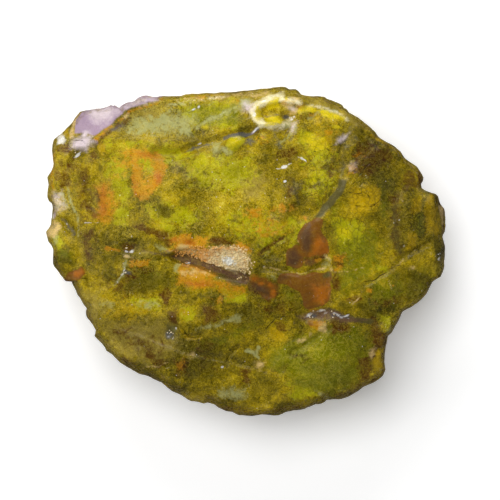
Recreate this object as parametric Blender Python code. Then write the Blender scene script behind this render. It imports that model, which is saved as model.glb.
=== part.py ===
"""A broken lump of chloropal opal: a mottled green face, a rough rind, and a slit lined with druse.

It lies on its flat back with the face up. +Z is up and +X runs along the face's long side. The origin
is on the surface that the lump rests on, under the middle of its outline. Named places and lengths are
in millimetres, and become metres where a vertex is made.
"""

import math
import random

import bmesh
import bpy
from mathutils import Vector, noise

MM = 0.001

# Driving dimensions of the lump, in millimetres.
FACE_HEIGHT = 25.0
CROWN_FALL = 4.4
CROWN_REACH = 38.0
BASE_SHARE = 0.7
SIDE_CURVE = 1.8
RIND_ROUGHNESS = 1.5
RIND_GRAIN = 6.5
FACE_ROUGHNESS = 0.3
FACE_GRAIN = 4.5

# The druse-lined slit, in millimetres above the resting surface.
SLIT_LIP = 24.3
SLIT_FLOOR = 21.4
ABOVE_FACE = 30.0

# The crust of druse on the slit's long bank, in millimetres.
CRUST_GAP = 0.45
CRUST_THICKNESS = 0.5
CRYSTAL_ROWS = 4
CRYSTAL_COLUMNS = 12
CRYSTAL_HEIGHT = (0.35, 0.75)
CRYSTAL_SEED = 7

# The lump's outline from above, anticlockwise from the east.
OUTLINE = [
    (39.9, 0.0), (40.1, 1.0), (39.9, 2.2), (39.6, 3.2), (40.1, 4.2), (40.3, 5.3), (40.2, 8.0), (40.0, 8.8),
    (39.4, 9.4), (39.0, 10.0), (38.9, 11.1), (38.3, 11.7), (37.2, 11.9), (36.0, 12.4), (35.3, 12.8),
    (35.2, 13.7), (35.6, 14.4), (35.5, 15.2), (35.0, 16.1), (34.3, 17.1), (33.0, 18.0), (31.7, 19.1),
    (31.0, 20.1), (29.8, 21.1), (28.0, 22.1), (26.5, 23.2), (26.0, 24.0), (25.0, 25.0), (23.7, 25.9),
    (22.5, 27.0), (20.6, 28.1), (20.2, 28.7), (19.6, 28.9), (19.3, 29.5), (17.5, 30.4), (16.3, 30.8),
    (15.8, 31.3), (14.4, 31.4), (12.0, 31.2), (11.0, 31.5), (10.1, 32.4), (8.6, 32.6), (7.6, 33.1),
    (5.4, 33.0), (3.0, 32.7), (0.0, 32.5), (-3.0, 32.1), (-6.5, 31.9), (-10.0, 31.7), (-13.0, 31.3),
    (-16.0, 31.4), (-18.2, 31.1), (-20.2, 31.4), (-21.6, 30.9), (-22.5, 30.2), (-24.0, 30.0), (-25.2, 29.1),
    (-26.0, 29.0), (-26.8, 29.6), (-28.2, 29.2), (-30.2, 29.1), (-32.4, 28.6), (-33.5, 28.2), (-34.6, 27.0),
    (-35.3, 25.9), (-36.5, 24.7), (-37.6, 23.8), (-38.7, 22.9), (-39.2, 21.0), (-39.0, 19.0), (-38.8, 17.6),
    (-39.2, 16.2), (-40.0, 15.0), (-39.8, 13.4), (-40.0, 11.2), (-39.6, 10.1), (-38.9, 9.6), (-39.0, 7.2),
    (-39.2, 5.6), (-40.3, 4.1), (-40.0, 2.4), (-39.2, 1.0), (-38.9, -0.6), (-39.0, -2.2), (-38.4, -3.5),
    (-37.0, -5.0), (-36.2, -5.8), (-35.2, -5.85), (-34.5, -7.0), (-33.4, -9.0), (-32.5, -10.8),
    (-32.0, -12.2), (-31.0, -14.2), (-30.2, -15.7), (-30.3, -17.0), (-29.0, -18.3), (-28.1, -19.8),
    (-26.0, -21.4), (-24.0, -22.9), (-22.8, -23.6), (-21.0, -24.6), (-19.4, -25.1), (-17.4, -26.0),
    (-16.0, -27.3), (-13.2, -28.6), (-11.6, -29.8), (-9.0, -30.3), (-7.6, -30.15), (-6.0, -31.0),
    (-4.0, -31.9), (-2.6, -32.1), (-1.2, -32.8), (1.2, -32.9), (3.3, -32.75), (5.0, -32.95), (7.2, -32.5),
    (9.5, -31.8), (11.4, -31.7), (13.0, -31.05), (15.0, -30.5), (16.2, -29.7), (18.6, -29.75), (21.0, -28.9),
    (23.9, -27.2), (26.8, -25.5), (27.8, -23.8), (27.7, -21.5), (28.1, -19.0), (28.4, -17.4), (28.5, -16.8),
    (29.4, -16.0), (30.2, -14.6), (31.4, -12.0), (33.0, -11.1), (34.8, -10.1), (36.2, -8.4), (37.3, -6.1),
    (38.3, -5.4), (39.2, -4.9), (39.8, -3.8), (39.9, -2.6),
]  # fmt: skip

# Broken facets at the face's edge: each falls away to the left of its line, at so many degrees.
FACETS = {
    "pale upper facet": ((-30.0, 22.9), (-14.0, 22.6), 11.0),
    "lilac facet": ((-29.4, 22.6), (-22.0, 28.7), 34.0),
    "north rind": ((-13.0, 29.8), (11.0, 30.3), 46.0),
    "north-east rind": ((11.0, 30.0), (21.0, 26.2), 50.0),
    "east shoulder": ((21.0, 26.4), (29.0, 21.0), 48.0),
    "west facet": ((-33.4, 3.5), (-35.2, 12.5), 30.0),
    "east chip": ((37.2, 2.4), (38.0, -4.5), 54.0),
}

# Raised lumps on the face: middle, half widths along and across, turn in degrees, and height.
LUMPS = {
    "green tongue": ((-2.2, 21.9), 1.9, 1.4, 35.0, 1.0),
    "amber hump": ((3.4, 22.2), 2.6, 1.8, -10.0, 1.0),
    "inner roll": ((5.4, 25.9), 2.6, 1.2, 5.0, 1.1),
    "yellow bead": ((12.0, 27.6), 2.0, 1.2, 15.0, 0.9),
    "west lobe": ((-36.4, 0.4), 2.8, 3.8, 0.0, 1.6),
    "north-west knob": ((-37.0, 19.8), 2.4, 2.8, 0.0, 1.2),
    "west knob": ((-38.0, 14.2), 1.8, 2.4, 0.0, 1.0),
    "east knob": ((37.4, 9.4), 2.2, 2.6, 20.0, 0.9),
    "south-east knob": ((27.0, -18.0), 2.6, 4.0, -15.0, 0.9),
    "jasper hump": ((13.6, 2.4), 5.6, 3.2, 70.0, 0.7),
    "lower jasper hump": ((12.4, -7.0), 4.8, 3.2, -20.0, 0.6),
    "green swell": ((15.0, -21.5), 9.0, 5.0, 15.0, 0.8),
    "west swell": ((-16.0, 11.0), 8.0, 5.0, 60.0, 0.7),
    "hole by the roll": ((8.4, 26.7), 1.6, 1.4, 0.0, -1.9),
    "small vug": ((14.0, -12.5), 3.4, 1.6, 8.0, -1.3),
    "dark pocket": ((-23.2, 0.9), 1.9, 1.5, 20.0, -0.9),
    "west pit": ((-35.5, 5.0), 2.2, 1.2, -50.0, -1.5),
    "north-west notch": ((-33.7, 19.4), 1.6, 1.2, 60.0, -1.3),
    "rind hollow": ((24.6, 22.6), 2.8, 1.5, -40.0, -1.0),
    "south-west hollow": ((-15.2, -15.6), 2.0, 2.6, 10.0, -0.7),
}

# Grooves and cracks: the line of the bed, half width and depth.
GROOVES = {
    "north groove": ([(-18.0, 19.8), (-14.0, 19.2), (-10.5, 20.5), (-7.0, 21.6), (-4.0, 22.7), (1.6, 24.0)],
                     1.0, 1.1),
    "west crack": ([(-31.8, 12.5), (-30.5, 10.0), (-29.3, 8.2)], 0.9, 0.8),
    "hook crack": ([(-13.5, -14.8), (-11.8, -16.9), (-9.2, -16.7)], 0.9, 0.9),
    "south crack": ([(-1.6, -18.6), (-3.3, -20.6), (-4.0, -22.6)], 0.8, 0.7),
    "vein seam": ([(20.5, 25.0), (19.3, 20.0), (19.3, 15.0), (16.5, 10.0), (14.0, 7.0)], 1.0, 0.7),
    "east crack": ([(24.0, -6.3), (28.0, -4.0), (32.0, -0.5), (37.0, 1.8)], 0.9, 0.9),
    "jasper seam": ([(3.0, -3.2), (8.5, -3.8), (12.0, -4.2), (16.0, -2.4)], 0.9, 0.6),
    "south-east crease": ([(8.8, -20.3), (11.5, -18.7), (14.0, -17.0), (16.5, -15.2)], 0.9, 0.8),
}  # fmt: skip

# Ledges: the ground to the left of the line is lower by the step, which fades with the distance from it.
LEDGES = {
    "north ledge": ([(-30.0, 22.9), (-14.0, 22.4), (-10.0, 22.0)], 0.8, 6.0),
    "vein ledge": ([(14.0, 7.0), (18.8, 13.0), (19.4, 20.0)], 0.5, 6.0),
    "jasper ledge": ([(16.8, -9.6), (16.8, -4.0), (16.4, 2.0)], 0.6, 5.0),
    "west ledge": ([(-33.0, -2.0), (-31.0, -10.0), (-26.0, -14.5)], 0.6, 5.0),
    "south ledge": ([(-22.0, -16.5), (-12.0, -20.5), (2.0, -23.5)], 0.5, 6.0),
}

# The white roll under the north rind: its crest line, half width and height.
ROLL_CREST = [(2.2, 25.2), (1.7, 27.4), (2.7, 29.2), (4.6, 30.3), (7.0, 30.7), (9.4, 30.4), (11.0, 29.7)]
ROLL_HALF_WIDTH = 1.3
ROLL_HEIGHT = 1.5

# How the rim turns down into the side: bearing in degrees, drop, and width of the turn.
RIM_TURN = [
    (0.0, 5.0, 1.3), (25.0, 4.5, 1.5), (60.0, 3.6, 1.0), (90.0, 3.4, 1.1), (130.0, 3.0, 1.4),
    (165.0, 4.0, 1.6), (195.0, 5.0, 2.0), (230.0, 5.6, 2.2), (270.0, 6.4, 2.4), (310.0, 5.6, 2.0),
    (335.0, 5.0, 1.5), (360.0, 5.0, 1.3),
]  # fmt: skip

# Flat breaks under the rim: bearing in degrees, and the shares of the way down where each starts and ends.
BREAKS = [
    (4.0, 0.2, 0.85), (40.0, 0.2, 0.95), (68.0, 0.05, 0.6), (97.0, 0.25, 0.95), (122.0, 0.05, 0.65),
    (150.0, 0.2, 0.9), (174.0, 0.15, 0.7), (204.0, 0.25, 0.95), (232.0, 0.05, 0.7), (262.0, 0.2, 0.95),
    (292.0, 0.05, 0.6), (318.0, 0.2, 0.9), (336.0, 0.3, 0.9),
]  # fmt: skip

# Shares of the way from the face's middle to its rim, where the rings of faces lie.
FACE_RINGS = [0.985, 0.965, 0.94, 0.91, 0.87, 0.82, 0.76, 0.69, 0.61]
INNER_RINGS = [0.54, 0.475, 0.41, 0.345, 0.28]
CORE_RINGS = [0.2, 0.12, 0.05]
SIDE_RINGS = [0.09, 0.21, 0.34, 0.47, 0.6, 0.73, 0.86]

# The slit's mouth at the face and its floor, point for point, from the west end round by the north.
SLIT_MOUTH = [
    (-16.0, -0.6), (-14.0, 0.5), (-12.0, 0.9), (-9.6, 1.0), (-7.2, 0.8), (-4.8, 1.0), (-2.2, 1.3),
    (-0.2, 0.4), (1.3, -1.6), (1.5, -3.6), (0.2, -5.7), (-2.8, -5.6), (-5.8, -4.9), (-8.6, -3.6),
    (-11.6, -2.7), (-14.4, -2.1),
]  # fmt: skip
SLIT_BED = [
    (-14.9, -1.0), (-14.0, -0.9), (-12.4, -1.0), (-10.6, -1.2), (-8.8, -1.9), (-6.8, -2.6), (-4.6, -3.2),
    (-2.6, -3.7), (-0.8, -4.2), (0.3, -4.6), (-0.2, -5.2), (-2.4, -5.0), (-5.2, -4.3), (-8.0, -3.2),
    (-11.0, -2.2), (-13.8, -1.7),
]  # fmt: skip
CRUST_FIRST = 3
CRUST_LAST = 8


def clear_scene():
    for obj in list(bpy.data.objects):
        bpy.data.objects.remove(obj)


def material(name, colour, roughness):
    """A plain Principled surface in the piece's main colour."""
    made = bpy.data.materials.new(name)
    made.use_nodes = True
    surface = made.node_tree.nodes["Principled BSDF"]
    surface.inputs["Base Color"].default_value = (*colour, 1.0)
    surface.inputs["Roughness"].default_value = roughness
    surface.inputs["Metallic"].default_value = 0.0
    made.diffuse_color = (*colour, 1.0)
    return made


def object_from(name, bm, surface):
    """Turns a bmesh in metres into a named object with one material."""
    bmesh.ops.recalc_face_normals(bm, faces=bm.faces)
    mesh = bpy.data.meshes.new(name)
    bm.to_mesh(mesh)
    bm.free()
    made = bpy.data.objects.new(name, mesh)
    bpy.context.scene.collection.objects.link(made)
    mesh.materials.append(surface)
    return made


def segment_distance(x, y, start, end):
    """Distance from a point to a straight segment."""
    dx, dy = end[0] - start[0], end[1] - start[1]
    share = ((x - start[0]) * dx + (y - start[1]) * dy) / (dx * dx + dy * dy)
    share = min(1.0, max(0.0, share))
    return math.hypot(x - start[0] - share * dx, y - start[1] - share * dy)


def between(table, bearing):
    """Values of a table by bearing, straight between its rows."""
    for low, high in zip(table, table[1:]):
        if bearing <= high[0]:
            share = (bearing - low[0]) / (high[0] - low[0])
            return [a + share * (b - a) for a, b in zip(low[1:], high[1:])]
    return list(table[-1][1:])


def crown(x, y):
    """The face's broad dome: a shallow paraboloid with two crossed swells."""
    reach = math.hypot(x, 1.12 * y) / CROWN_REACH
    swell = 0.32 * math.sin(x / 5.6 + 0.7) * math.sin(y / 5.0 + 1.9) + 0.22 * math.sin((x - y) / 4.3)
    return FACE_HEIGHT - CROWN_FALL * reach**2 + swell


def facet_height(x, y, facet):
    """A plane through the dome at both ends of the facet's line, falling to the line's left."""
    (x0, y0), (x1, y1), fall = facet
    length = math.hypot(x1 - x0, y1 - y0)
    ux, uy = (x1 - x0) / length, (y1 - y0) / length
    along = (x - x0) * ux + (y - y0) * uy
    beyond = (y - y0) * ux - (x - x0) * uy
    low, high = crown(x0, y0), crown(x1, y1)
    return low + (high - low) * along / length - math.tan(math.radians(fall)) * beyond


def lump_rise(x, y, lump):
    """A smooth mound that ends at an ellipse."""
    (x0, y0), half_long, half_wide, turn, height = lump
    c, s = math.cos(math.radians(turn)), math.sin(math.radians(turn))
    u = ((x - x0) * c + (y - y0) * s) / half_long
    v = ((y - y0) * c - (x - x0) * s) / half_wide
    inside = max(0.0, 1.0 - (u * u + v * v) / 1.6)
    return height * inside**1.5


def ridge_rise(x, y, line, half_width, height):
    """A rounded ridge along a line; a groove where the height is below zero."""
    away = min(segment_distance(x, y, a, b) for a, b in zip(line, line[1:]))
    inside = max(0.0, 1.0 - (away / (1.3 * half_width)) ** 2)
    return height * inside**1.5


def ledge_fall(x, y, line, step, reach):
    """How far a ledge lowers the ground: all of the step close by on the line's left, none at its reach."""
    away, side = min(
        (segment_distance(x, y, a, b), (y - a[1]) * (b[0] - a[0]) - (x - a[0]) * (b[1] - a[1]))
        for a, b in zip(line, line[1:])
    )
    if side < 0.0 or away > reach:
        return 0.0
    return step * min(1.0, away / 0.8) * (1.0 - away / reach)


def face_height(x, y, inset, bearing):
    """Height of the face at a place that lies inset from the outline, measured along its bearing."""
    height = crown(x, y)
    for facet in FACETS.values():
        height = min(height, facet_height(x, y, facet))
    height += sum(lump_rise(x, y, lump) for lump in LUMPS.values())
    height += ridge_rise(x, y, ROLL_CREST, ROLL_HALF_WIDTH, ROLL_HEIGHT)
    height += sum(ridge_rise(x, y, line, half, -depth) for line, half, depth in GROOVES.values())
    height -= sum(ledge_fall(x, y, *ledge) for ledge in LEDGES.values())
    height += FACE_ROUGHNESS * noise.noise(Vector((x, y, 0.0)) / FACE_GRAIN)
    drop, width = between(RIM_TURN, bearing)
    near = 1.0 - min(1.0, inset / width)
    return height - drop * (1.0 - math.sqrt(1.0 - near * near))


def face_point(corner, share):
    """The point of the face at a share of the way from its middle to a corner of the outline."""
    reach = math.hypot(*corner)
    bearing = math.degrees(math.atan2(corner[1], corner[0])) % 360.0
    x, y = corner[0] * share, corner[1] * share
    return Vector((x, y, face_height(x, y, (1.0 - share) * reach, bearing)))


def smooth_side(corner, share):
    """The side before it was broken: it curves in from the rim, and the outline's small bays die out."""
    rim = face_point(corner, 1.0)
    bearing = math.atan2(corner[1], corner[0])
    base_share = BASE_SHARE + 0.05 * math.sin(2.0 * bearing + 0.9) + 0.025 * math.sin(5.0 * bearing)
    inward = 1.0 - (1.0 - base_share) * share**SIDE_CURVE
    even = math.hypot(39.5 * math.cos(bearing), 32.0 * math.sin(bearing)) / math.hypot(*corner)
    inward *= 1.0 + 0.6 * share * (even - 1.0)
    return Vector((rim.x * inward, rim.y * inward, rim.z * (1.0 - share)))


def break_plane(bearing, top, bottom):
    """A plane through the smooth side at two heights of one bearing: its outward direction and distance."""
    bearing = math.radians(bearing)
    aim = Vector((math.cos(bearing), math.sin(bearing)))
    corner = max(OUTLINE, key=lambda place: Vector(place).normalized().dot(aim))
    high, low = smooth_side(corner, top), smooth_side(corner, bottom)
    level = Vector((-math.sin(bearing), math.cos(bearing), 0.0))
    outward = level.cross(high - low).normalized()
    return outward, outward.dot(high)


BREAK_PLANES = []


def side_point(corner, share):
    """The point at a share of the way down from the rim, with the flat breaks cut off and a rough rind."""
    place = smooth_side(corner, share)
    for outward, distance in BREAK_PLANES:
        proud = place.dot(outward) - distance
        if proud > 0.0:
            proud *= min(1.0, share / 0.2) / (outward.x**2 + outward.y**2)
            place -= Vector((outward.x, outward.y, 0.0)) * proud
    rough = RIND_ROUGHNESS * noise.noise(place / RIND_GRAIN) * math.sin(math.pi * share) ** 0.6
    level = Vector((place.x, place.y, 0.0)).normalized()
    return place + level * (rough - 0.4 * RIND_ROUGHNESS * math.sin(math.pi * share))


def ring(bm, corners, point_at, share):
    """A closed ring of vertices and edges, one vertex for each corner of the outline."""
    verts = [bm.verts.new(point_at(corner, share) * MM) for corner in corners]
    return [bm.edges.new((a, b)) for a, b in zip(verts, verts[1:] + verts[:1])]


def opal_lump(surface):
    """The lump: rings bridged from the middle of the face, over the rim, down the side to the base."""
    BREAK_PLANES.extend(break_plane(*cut) for cut in BREAKS)
    bm = bmesh.new()
    middle_ring = ring(bm, OUTLINE[::4], face_point, CORE_RINGS[-1])
    rings = [middle_ring]
    rings += [ring(bm, OUTLINE[::4], face_point, share) for share in reversed(CORE_RINGS[:-1])]
    rings += [ring(bm, OUTLINE[::2], face_point, share) for share in reversed(INNER_RINGS)]
    rings += [ring(bm, OUTLINE, face_point, share) for share in reversed(FACE_RINGS)]
    rings += [ring(bm, OUTLINE, side_point, share) for share in [0.0] + SIDE_RINGS]
    base_ring = ring(bm, OUTLINE, side_point, 1.0)
    rings.append(base_ring)
    for inner, outer in zip(rings, rings[1:]):
        bmesh.ops.bridge_loops(bm, edges=inner + outer)
    bmesh.ops.contextual_create(bm, geom=middle_ring)
    bmesh.ops.contextual_create(bm, geom=base_ring)
    bmesh.ops.triangulate(bm, faces=bm.faces)
    return object_from("opal_lump", bm, surface)


def slit_cutter():
    """The slit's space: straight walls above its lip, then banks that close in on a narrow bed."""
    bm = bmesh.new()
    levels = [(SLIT_MOUTH, ABOVE_FACE), (SLIT_MOUTH, SLIT_LIP), (SLIT_BED, SLIT_FLOOR)]
    loops = []
    for outline, height in levels:
        verts = [bm.verts.new(Vector((x, y, height)) * MM) for x, y in outline]
        loops.append([bm.edges.new((a, b)) for a, b in zip(verts, verts[1:] + verts[:1])])
    for upper, lower in zip(loops, loops[1:]):
        bmesh.ops.bridge_loops(bm, edges=upper + lower)
    bmesh.ops.contextual_create(bm, geom=loops[0])
    bmesh.ops.contextual_create(bm, geom=loops[-1])
    cutter = object_from("slit_cutter", bm, material("cutter", (1.0, 0.0, 0.0), 1.0))
    cutter.hide_render = True
    cutter.display_type = "WIRE"
    return cutter


def along_list(points, share):
    """The point at a share of the way along a list of points, counted by its steps."""
    at = share * (len(points) - 1)
    step = min(int(at), len(points) - 2)
    part = at - step
    return [a + part * (b - a) for a, b in zip(points[step], points[step + 1])]


def bank_point(along, down):
    """The point on the slit's north bank, from the lip at 0 down to the bed at 1."""
    lip = along_list(SLIT_MOUTH[CRUST_FIRST : CRUST_LAST + 1], along)
    bed = along_list(SLIT_BED[CRUST_FIRST : CRUST_LAST + 1], along)
    return Vector((*lip, SLIT_LIP)).lerp(Vector((*bed, SLIT_FLOOR)), down)


def crust_point(along, down, lift):
    """A point above the bank, square to it."""
    step = 0.01
    eastward = bank_point(min(1.0, along + step), down) - bank_point(max(0.0, along - step), down)
    downward = bank_point(along, down + step) - bank_point(along, down - step)
    outward = downward.cross(eastward).normalized()
    if outward.z < 0.0:
        outward.negate()
    return bank_point(along, down) + outward * lift


def druse_crust(surface):
    """The crust: a slab along the bank whose upper squares are raised into flat-sided points."""
    rng = random.Random(CRYSTAL_SEED)
    bm = bmesh.new()
    layers = []
    for lift in (CRUST_GAP, CRUST_GAP + CRUST_THICKNESS):
        rows = []
        for row in range(CRYSTAL_ROWS + 1):
            down = 0.12 + 0.7 * row / CRYSTAL_ROWS
            places = []
            for column in range(CRYSTAL_COLUMNS + 1):
                along = column / CRYSTAL_COLUMNS
                if lift > CRUST_GAP and 0 < row < CRYSTAL_ROWS and 0 < column < CRYSTAL_COLUMNS:
                    along += rng.uniform(-0.02, 0.02)
                places.append(bm.verts.new(crust_point(along, down, lift) * MM))
            rows.append(places)
        layers.append(rows)
    tops = []
    for level, rows in enumerate(layers):
        for upper, lower in zip(rows, rows[1:]):
            for a, b, c, d in zip(upper, upper[1:], lower[1:], lower):
                face = bm.faces.new((a, b, c, d))
                if level:
                    tops.append(face)
    edges = [edge for edge in bm.edges if edge.is_boundary]
    bmesh.ops.bridge_loops(bm, edges=edges)
    bmesh.ops.recalc_face_normals(bm, faces=bm.faces)
    for face in tops:
        bmesh.ops.poke(bm, faces=[face], offset=rng.uniform(*CRYSTAL_HEIGHT) * MM)
    bmesh.ops.triangulate(bm, faces=bm.faces)
    return object_from("druse_crust", bm, surface)


def main():
    clear_scene()
    opal = material("mottled green opal", (0.36, 0.33, 0.06), 0.3)
    druse = material("cream quartz druse", (0.8, 0.68, 0.5), 0.25)
    lump = opal_lump(opal)
    cut = lump.modifiers.new("slit", "BOOLEAN")
    cut.operation = "DIFFERENCE"
    cut.object = slit_cutter()
    druse_crust(druse)


main()
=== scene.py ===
"""Looks of a broken chloropal opal: its mottled wet face, rough rind, druse-lined slit and small sparkles.

The stone lies on its flat break with the face up. Places on it are in millimetres, x to the right and y to
the top of the face, and become metres where a vertex is made.
"""

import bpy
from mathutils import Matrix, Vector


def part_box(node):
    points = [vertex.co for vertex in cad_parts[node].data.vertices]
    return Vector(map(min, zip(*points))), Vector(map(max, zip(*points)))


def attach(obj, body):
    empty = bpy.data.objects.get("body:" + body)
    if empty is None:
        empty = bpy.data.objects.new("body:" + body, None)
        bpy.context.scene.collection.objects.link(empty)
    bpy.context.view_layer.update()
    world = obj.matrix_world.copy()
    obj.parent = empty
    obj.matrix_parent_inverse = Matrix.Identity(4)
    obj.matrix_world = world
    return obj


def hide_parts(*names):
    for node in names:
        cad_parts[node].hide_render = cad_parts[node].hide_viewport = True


bl_info = {
    "name": "Chloropal opal stone",
    "version": (1, 0, 0),
    "blender": (4, 5, 0),
    "location": "3D View > Sidebar > Opal",
    "description": "Dresses the packed opal lump and its druse crust, and lays them on a pale floor",
    "category": "Object",
}

import math

import bpy
import numpy as np

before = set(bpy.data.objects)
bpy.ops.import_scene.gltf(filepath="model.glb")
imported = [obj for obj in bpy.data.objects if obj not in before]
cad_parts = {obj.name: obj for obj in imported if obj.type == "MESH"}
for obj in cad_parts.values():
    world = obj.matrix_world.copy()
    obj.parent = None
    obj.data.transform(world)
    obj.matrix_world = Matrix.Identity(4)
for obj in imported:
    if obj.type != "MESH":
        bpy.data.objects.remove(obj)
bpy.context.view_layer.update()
CRUST_LOW, CRUST_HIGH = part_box("druse_crust")

MM = 0.001

# What the picture shows: so many metres across, round this place, at the height of the stone's widest belt.
PICTURE_SPAN = 0.1
PICTURE_MIDDLE = (0.0008, 0.0004)
BELT_HEIGHT = 19.0 * MM
# The camera's sensor in millimetres, then the floor and the lamps' aim in metres.
SENSOR_WIDTH = 36.0
FLOOR_HALF_SIDE = 2.0
LAMP_AIM = (0.0, 0.0, 0.015)

# How finely the stone is drawn: squares across the face, and rings round the rim's turn, side and base.
FACE_SQUARES = 224
TURN_RINGS = 9
SIDE_RINGS = 30
BASE_RINGS = 10

# The dome of the face and the side under the rim, in millimetres and shares, as in the solid.
FACE_HEIGHT = 25.0
CROWN_FALL = 4.4
CROWN_REACH = 38.0
BASE_SHARE = 0.7
SIDE_CURVE = 1.8
SLIT_FLOOR = 21.4
# Half lengths of the even oval towards which the outline's small bays die out down the side.
OVAL_LONG = 39.5
OVAL_WIDE = 32.0
# How far in from the rim the rind's relief gives way to the face's, and how far below it marks fade out.
RIND_BAND = (0.6, 3.6)
MARKS_FADE = (3.0, 8.0)

# The stone's outline from above, clockwise from the north.
OUTLINE = [
    (0, 32.5), (1.5, 32.55), (3, 32.75), (4.8, 32.9), (5.5, 33.1), (7, 33.15), (8, 33), (8.6, 32.6),
    (10, 32.5), (10.5, 32.1), (11, 31.5), (12, 31.25), (13.5, 31.2), (14.5, 31.4), (15.8, 31.3), (16.3, 30.8),
    (17.5, 30.4), (18.5, 30), (19.3, 29.5), (19.6, 28.9), (20.2, 28.7), (20.6, 28.1), (21.5, 27.6),
    (22.5, 27), (23.7, 25.9), (25, 25), (26, 24), (26.5, 23.2), (28, 22.1), (29.8, 21.1), (31, 20.1),
    (31.7, 19.1), (33, 18), (34.3, 17.1), (35, 16.1), (35.6, 15), (35.6, 14.3), (35.2, 13.7), (35.3, 12.8),
    (36, 12.4), (37.2, 11.9), (38.3, 11.7), (38.9, 11.1), (39, 10), (39.4, 9.4), (40, 8.8), (40.2, 8),
    (40.2, 6), (40.3, 5.3), (40.1, 4.2), (39.6, 3.2), (39.9, 2.2), (40.1, 1), (39.9, 0), (39.8, -1.8),
    (39.95, -2.8), (39.8, -3.8), (39.1, -5), (38.2, -5.4), (37.4, -6), (36.9, -7), (36.2, -8.4), (35.3, -9.6),
    (34.3, -10.4), (33, -11.1), (31.5, -11.9), (31, -12.9), (30, -15), (29.3, -16.2), (28.4, -16.8),
    (28.45, -17.6), (28.1, -19), (27.8, -21), (27.7, -22), (27.9, -23.5), (27.5, -24.6), (26.8, -25.5),
    (25.5, -26.4), (25, -26.7), (23.9, -27.2), (22, -28.4), (21, -28.9), (20, -29.4), (18.6, -29.75),
    (16.2, -29.7), (15.8, -30.2), (15, -30.5), (14, -30.6), (13, -31.05), (12.4, -31.2), (12, -31.5),
    (11, -31.75), (9.5, -31.8), (8, -32.2), (6.5, -32.8), (5, -32.95), (3.3, -32.75), (2.5, -32.9),
    (1.2, -32.9), (-1.2, -32.75), (-2, -32.5), (-2.8, -32.05), (-4, -31.9), (-5.5, -31.3), (-6.3, -30.7),
    (-7.7, -30.15), (-8.4, -30.35), (-9.5, -30.2), (-11, -30), (-12, -29.4), (-13, -28.7), (-14, -28.4),
    (-15, -28), (-16, -27.3), (-17, -26.3), (-18, -25.8), (-19, -25.3), (-20, -24.85), (-21, -24.6),
    (-22, -24.1), (-22.7, -23.7), (-23, -23.4), (-24, -22.9), (-25, -22.3), (-26, -21.4), (-27, -20.5),
    (-28, -19.9), (-28.3, -19.2), (-29, -18.3), (-30, -17.3), (-30.4, -16.8), (-30.2, -15.7), (-31, -14.2),
    (-31.7, -12.9), (-32, -12), (-32.1, -11.4), (-32.7, -10.6), (-33, -9.9), (-33.5, -8.9), (-34.1, -7.7),
    (-34.7, -6.5), (-35, -5.9), (-35.3, -5.8), (-35.9, -5.95), (-36.3, -5.9), (-37, -5), (-38, -3.9),
    (-38.8, -2.9), (-39, -2.2), (-38.95, -0.3), (-39, 0.5), (-39.4, 1.5), (-39.9, 2.1), (-40.1, 3.1),
    (-40.3, 4.1), (-39.8, 4.6), (-39.2, 5.5), (-39.2, 6.5), (-39, 7.2), (-38.9, 9), (-39.2, 10),
    (-39.7, 10.2), (-40, 11), (-39.95, 12), (-39.8, 13.6), (-40, 15), (-39.3, 16), (-38.9, 17), (-38.8, 17.8),
    (-39, 19), (-39.2, 20.7), (-39.1, 21.7), (-38.8, 22.8), (-38.3, 23.2), (-38, 23.5), (-37.5, 23.8),
    (-36.5, 24.7), (-36, 25.3), (-35.2, 26), (-34.6, 27), (-34, 27.7), (-33.5, 28.3), (-32.5, 28.6),
    (-31.2, 28.9), (-30.2, 29.15), (-29.3, 29), (-28, 29.2), (-27, 29.6), (-26.5, 29.6), (-26, 29),
    (-25.5, 28.9), (-25, 29.4), (-24, 30), (-22.5, 30.2), (-21.5, 31), (-20.7, 31.3), (-20, 31.4),
    (-19, 31.25), (-18, 31.1), (-17.3, 31.3), (-16, 31.4), (-14, 31.35), (-13, 31.3), (-12, 31.7),
    (-10, 31.75), (-8, 31.95), (-6.5, 31.95), (-5, 32.15), (-4, 32.1), (-3, 32.1), (-2, 32.1), (-1, 32.35),
]  # fmt: skip

# Broken facets at the face's edge: each falls away to the left of its line, at so many degrees.
FACETS = {
    "pale upper facet": ((-30, 22.9), (-14, 22.6), 11),
    "lilac facet": ((-29.4, 22.6), (-22, 28.7), 34),
    "north rind": ((-13, 29.8), (11, 30.3), 46),
    "north-east rind": ((11, 30), (21, 26.2), 50),
    "east shoulder": ((21, 26.4), (29, 21), 48),
    "west facet": ((-33.4, 3.5), (-35.2, 12.5), 30),
    "east chip": ((37.2, 2.4), (38, -4.5), 54),
}

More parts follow.
